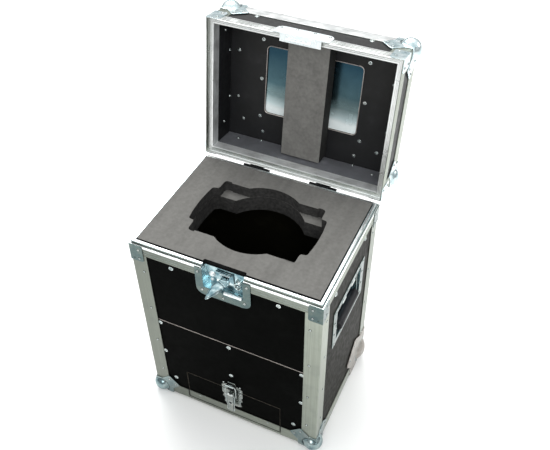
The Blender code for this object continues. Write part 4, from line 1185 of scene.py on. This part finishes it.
def build_catch():
    """The hatch's catch: base, lever and loop, and the keeper above the hatch."""
    for node in ("catch_base", "catch_keeper"):
        refined(node, 0.35 * MM, ZINC_CATCH)
    build_lever()
    face = HALF_D - 0.3 * MM
    rivets("catch_base_rivets", "hatch", [("y", -1, face, both((19, 93), (18.5, 66), (16, 51)), 2.2, 0)])
    rivets("catch_keeper_rivets", "case_body", [("y", -1, face, both((20, 107), (20, 122)), 2.2, 0)])

    _, y, z = JOINT["loop_swing"]["pos_m"]
    half, top, stub = 12.5 * MM, 129.5 * MM, 7 * MM
    bow = [(x, y, height) for x, height in arc((0, top - half), half, 180, 0, 14)]
    route = [(-stub, y, z), (-half, y, z)] + bow + [(half, y, z), (stub, y, z)]
    add_hardware("catch_loop_wire", tube(bent(route, 1.2 * MM), 1.1 * MM, 12), ZINC_RIVET, "catch_loop",
                 ("catch_loop",))
    # painted shadow: a black pad on the board behind the catch's keeper
    pad = [(-9.5 * MM, 103.5 * MM), (9.5 * MM, 103.5 * MM)] + arc((0, 118 * MM), 9.5 * MM, 0, 180, 12)
    plate = -HALF_D - BOARD_BACK
    add_hardware("catch_keeper_painted_shadow", prism(pad, "y", plate - 0.2 * MM, plate + 0.4 * MM), PAINTED_SHADE_BLACK)
    _, y, z = JOINT["catch_lift"]["pos_m"]
    knuckle = tube([(way * 6.4 * MM, y - 1.4 * MM, z) for way in (-1, 1)], 3.3 * MM, 20)
    add_hardware("catch_knuckle", soften(knuckle, 0.6 * MM, 2, 60), ZINC_RIVET, "catch_lever")
    low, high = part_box("catch_keeper")
    bar = tube([(way * 10 * MM, low.y + 1.2 * MM, high.z) for way in (-1, 1)], 1.9 * MM, 18)
    add_hardware("catch_keeper_curl", soften(bar, 0.5 * MM, 2, 60), ZINC_RIVET)


def build_hinges():
    """The stop hinges: leaves whose knuckles round the pin are black as painted shade, and three rivets in each.
    """
    axle = Vector(JOINT["lid_hinge"]["pos_m"])
    for side, _ in SIDES:
        leaves = ("hinge_body_leaf_" + side, "hinge_lid_leaf_" + side)
        for node in leaves:
            bm = soften(node_mesh(node), 0.35 * MM, 2)
            # painted shade: faces close to the hinge's axis are black
            for face in bm.faces:
                spot = face.calc_center_median() - axle
                face.material_index = int(math.hypot(spot.y, spot.z) < 3.6 * MM)
            replace_node(node, "_rounded", bm, [ZINC, PAINTED_SHADE_BLACK])
        low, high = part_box(leaves[0])
        across = [(low.x + high.x) / 2 + offset * MM for offset in (-22, 0, 22)]
        for name, body, z in (("body", "case_body", 441 * MM), ("lid", "lid", 511 * MM)):
            rivets("hinge_rivets_%s_%s" % (name, side), body,
                   [("y", 1, HALF_D + BOARD_BACK, [(x, z) for x in across], HEAD, 0)])


def build_label_dish():
    """The dish, and the bright edge of its opening on the inside of the lid."""
    refined("label_dish", 0.35 * MM, ZINC_SHEET)
    low, high = shut_box("label_dish")
    inner = shut_box("lid_top_panel")[0].z
    outline = rounded((low.x + LABEL_FLANGE, low.y + LABEL_FLANGE),
                      (high.x - LABEL_FLANGE, high.y - LABEL_FLANGE), 9 * MM)
    edge = tube([(x, y, inner) for x, y in outline], 0.9 * MM, 8, closed=True)
    add_hardware("label_dish_edge", edge, STRIP, "lid")


# ---- foam
def round_notch(bm):
    """Rounds the upright corners of the notch behind the latch, as a blade leaves them."""
    bmesh.ops.dissolve_limit(bm, angle_limit=math.radians(0.8), verts=bm.verts, edges=bm.edges)
    front = min(v.co.y for v in bm.verts) + 2 * MM
    edges = []
    for edge in bm.edges:
        first, second = [vert.co for vert in edge.verts]
        if abs(first.z - second.z) > 10 * MM and abs(first.x) < 60 * MM and front < first.y < front + 8 * MM:
            edges.append(edge)
    bmesh.ops.bevel(bm, geom=edges, offset=3.4 * MM, segments=5, profile=0.5, affect="EDGES")


def build_foam():
    """Foam blocks, with grey skived faces, darker cut faces that are partly their own colour and partly painted
    shade, and near-black painted shade on the cut faces at the front.
    """
    for node, skin, cut in (("foam_top", FOAM_GREY, FOAM_CUT_AND_SHADE), ("foam_lower", FOAM_GREY, FOAM_CUT_AND_SHADE),
                            ("foam_base", FOAM_CUT_AND_SHADE, FOAM_CUT_AND_SHADE), ("lid_foam_block", FOAM_LID_PAINTED_LIGHT, FOAM_SIDE)):
        in_lid = BODY_OF[node] == "lid"
        bm = node_mesh(node)
        if node in ("foam_top", "foam_lower"):
            round_notch(bm)
        bm = soften(bm, 0.9 * MM)
        flat = OPEN.to_3x3() @ Vector((0, 0, -1)) if in_lid else Vector((0, 0, 1))
        front = min(v.co.y for v in bm.verts) + 9 * MM
        for face in bm.faces:
            # painted shade: sawn faces darken, and those near the body's front go near black
            sawn = face.normal.dot(flat) < 0.6
            face.material_index = sawn * (2 if not in_lid and face.calc_center_median().y < front else 1)
        item = replace_node(node, "_cut", bm, [skin, cut, FOAM_PAINTED_SHADE])


# ---- stage, light and camera
def add_floor():
    mesh = bpy.data.meshes.new("floor")
    mesh.from_pydata([(-6, -6, FLOOR), (6, -6, FLOOR), (6, 6, FLOOR), (-6, 6, FLOOR)], [], [(0, 1, 2, 3)])
    mesh.materials.append(new_material("floor_paint", (0.93, 0.93, 0.92), 0.9))
    placed("floor", mesh)


SKY = ((0.0, 0.3), (0.22, 0.3), (0.5, 0.8), (0.85, 1.0))     # height of the direction, brightness


def add_world():
    world = bpy.data.worlds.new("studio")
    bpy.context.scene.world = world
    world.use_nodes = True
    tree = world.node_tree
    height = coordinate(tree, "Z", "Generated")
    shades = shader_node(tree, "ShaderNodeValToRGB", {}, {"Fac": height})
    fill_ramp(shades, [(place, (0.97 * level, 0.99 * level, level)) for place, level in SKY])
    background = tree.nodes["Background"].inputs
    tree.links.new(shades.outputs["Color"], background["Color"])
    background["Strength"].default_value = 1.1


def add_area(name, place, target, size, power):
    data = bpy.data.lights.new(name, "AREA")
    data.shape = "SQUARE"
    data.size = size
    data.energy = power
    lamp = placed(name, data)
    lamp.location = place
    lamp.rotation_euler = (Vector(target) - Vector(place)).to_track_quat("-Z", "Y").to_euler()


def add_camera():
    """The view: from the front right and well above, close enough to show a strong perspective."""
    yaw, pitch, roll = math.radians(25.248), math.radians(-43.576), math.radians(-0.719)
    look = Vector((-math.sin(yaw) * math.cos(pitch), math.cos(yaw) * math.cos(pitch), math.sin(pitch)))
    level = Vector((math.cos(yaw), math.sin(yaw), 0))
    above = level.cross(look)
    right = level * math.cos(roll) + above * math.sin(roll)
    up = above * math.cos(roll) - level * math.sin(roll)
    data = bpy.data.cameras.new("camera")
    data.lens = 46.76
    data.sensor_width = 36
    data.clip_end = 50
    camera = placed("camera", data)
    turn = Matrix((right, up, -look)).transposed().to_4x4()
    camera.matrix_world = Matrix.Translation((0.46576, -0.90632, 1.43968)) @ turn
    bpy.context.scene.camera = camera


def main():
    bpy.context.scene.view_settings.view_transform = "Standard"
    build_boards()
    build_body_rim()
    build_lid_rim()
    build_edge_angles()
    build_lid_angles()
    build_trims()
    build_body_rivets()
    build_lid_rivets()
    build_braces()
    build_ball_corners()
    build_latch()
    build_handles()
    build_catch()
    build_hinges()
    build_label_dish()
    build_foam()
    add_floor()
    add_world()
    add_area("key", (1.1, -1.6, 2.3), (0, 0, 0.4), 0.8, 14)
    add_area("back", (-0.9, 1.5, 2.9), (0, 0.1, 0.5), 2.4, 100)
    add_area("side", (1.6, 1.4, 1.5), (0.9, 0.9, 0.0), 0.9, 10)
    add_area("front", (0.1, -2.3, 1.3), (0, 0.2, 0.7), 0.8, 9)
    add_camera()


main()
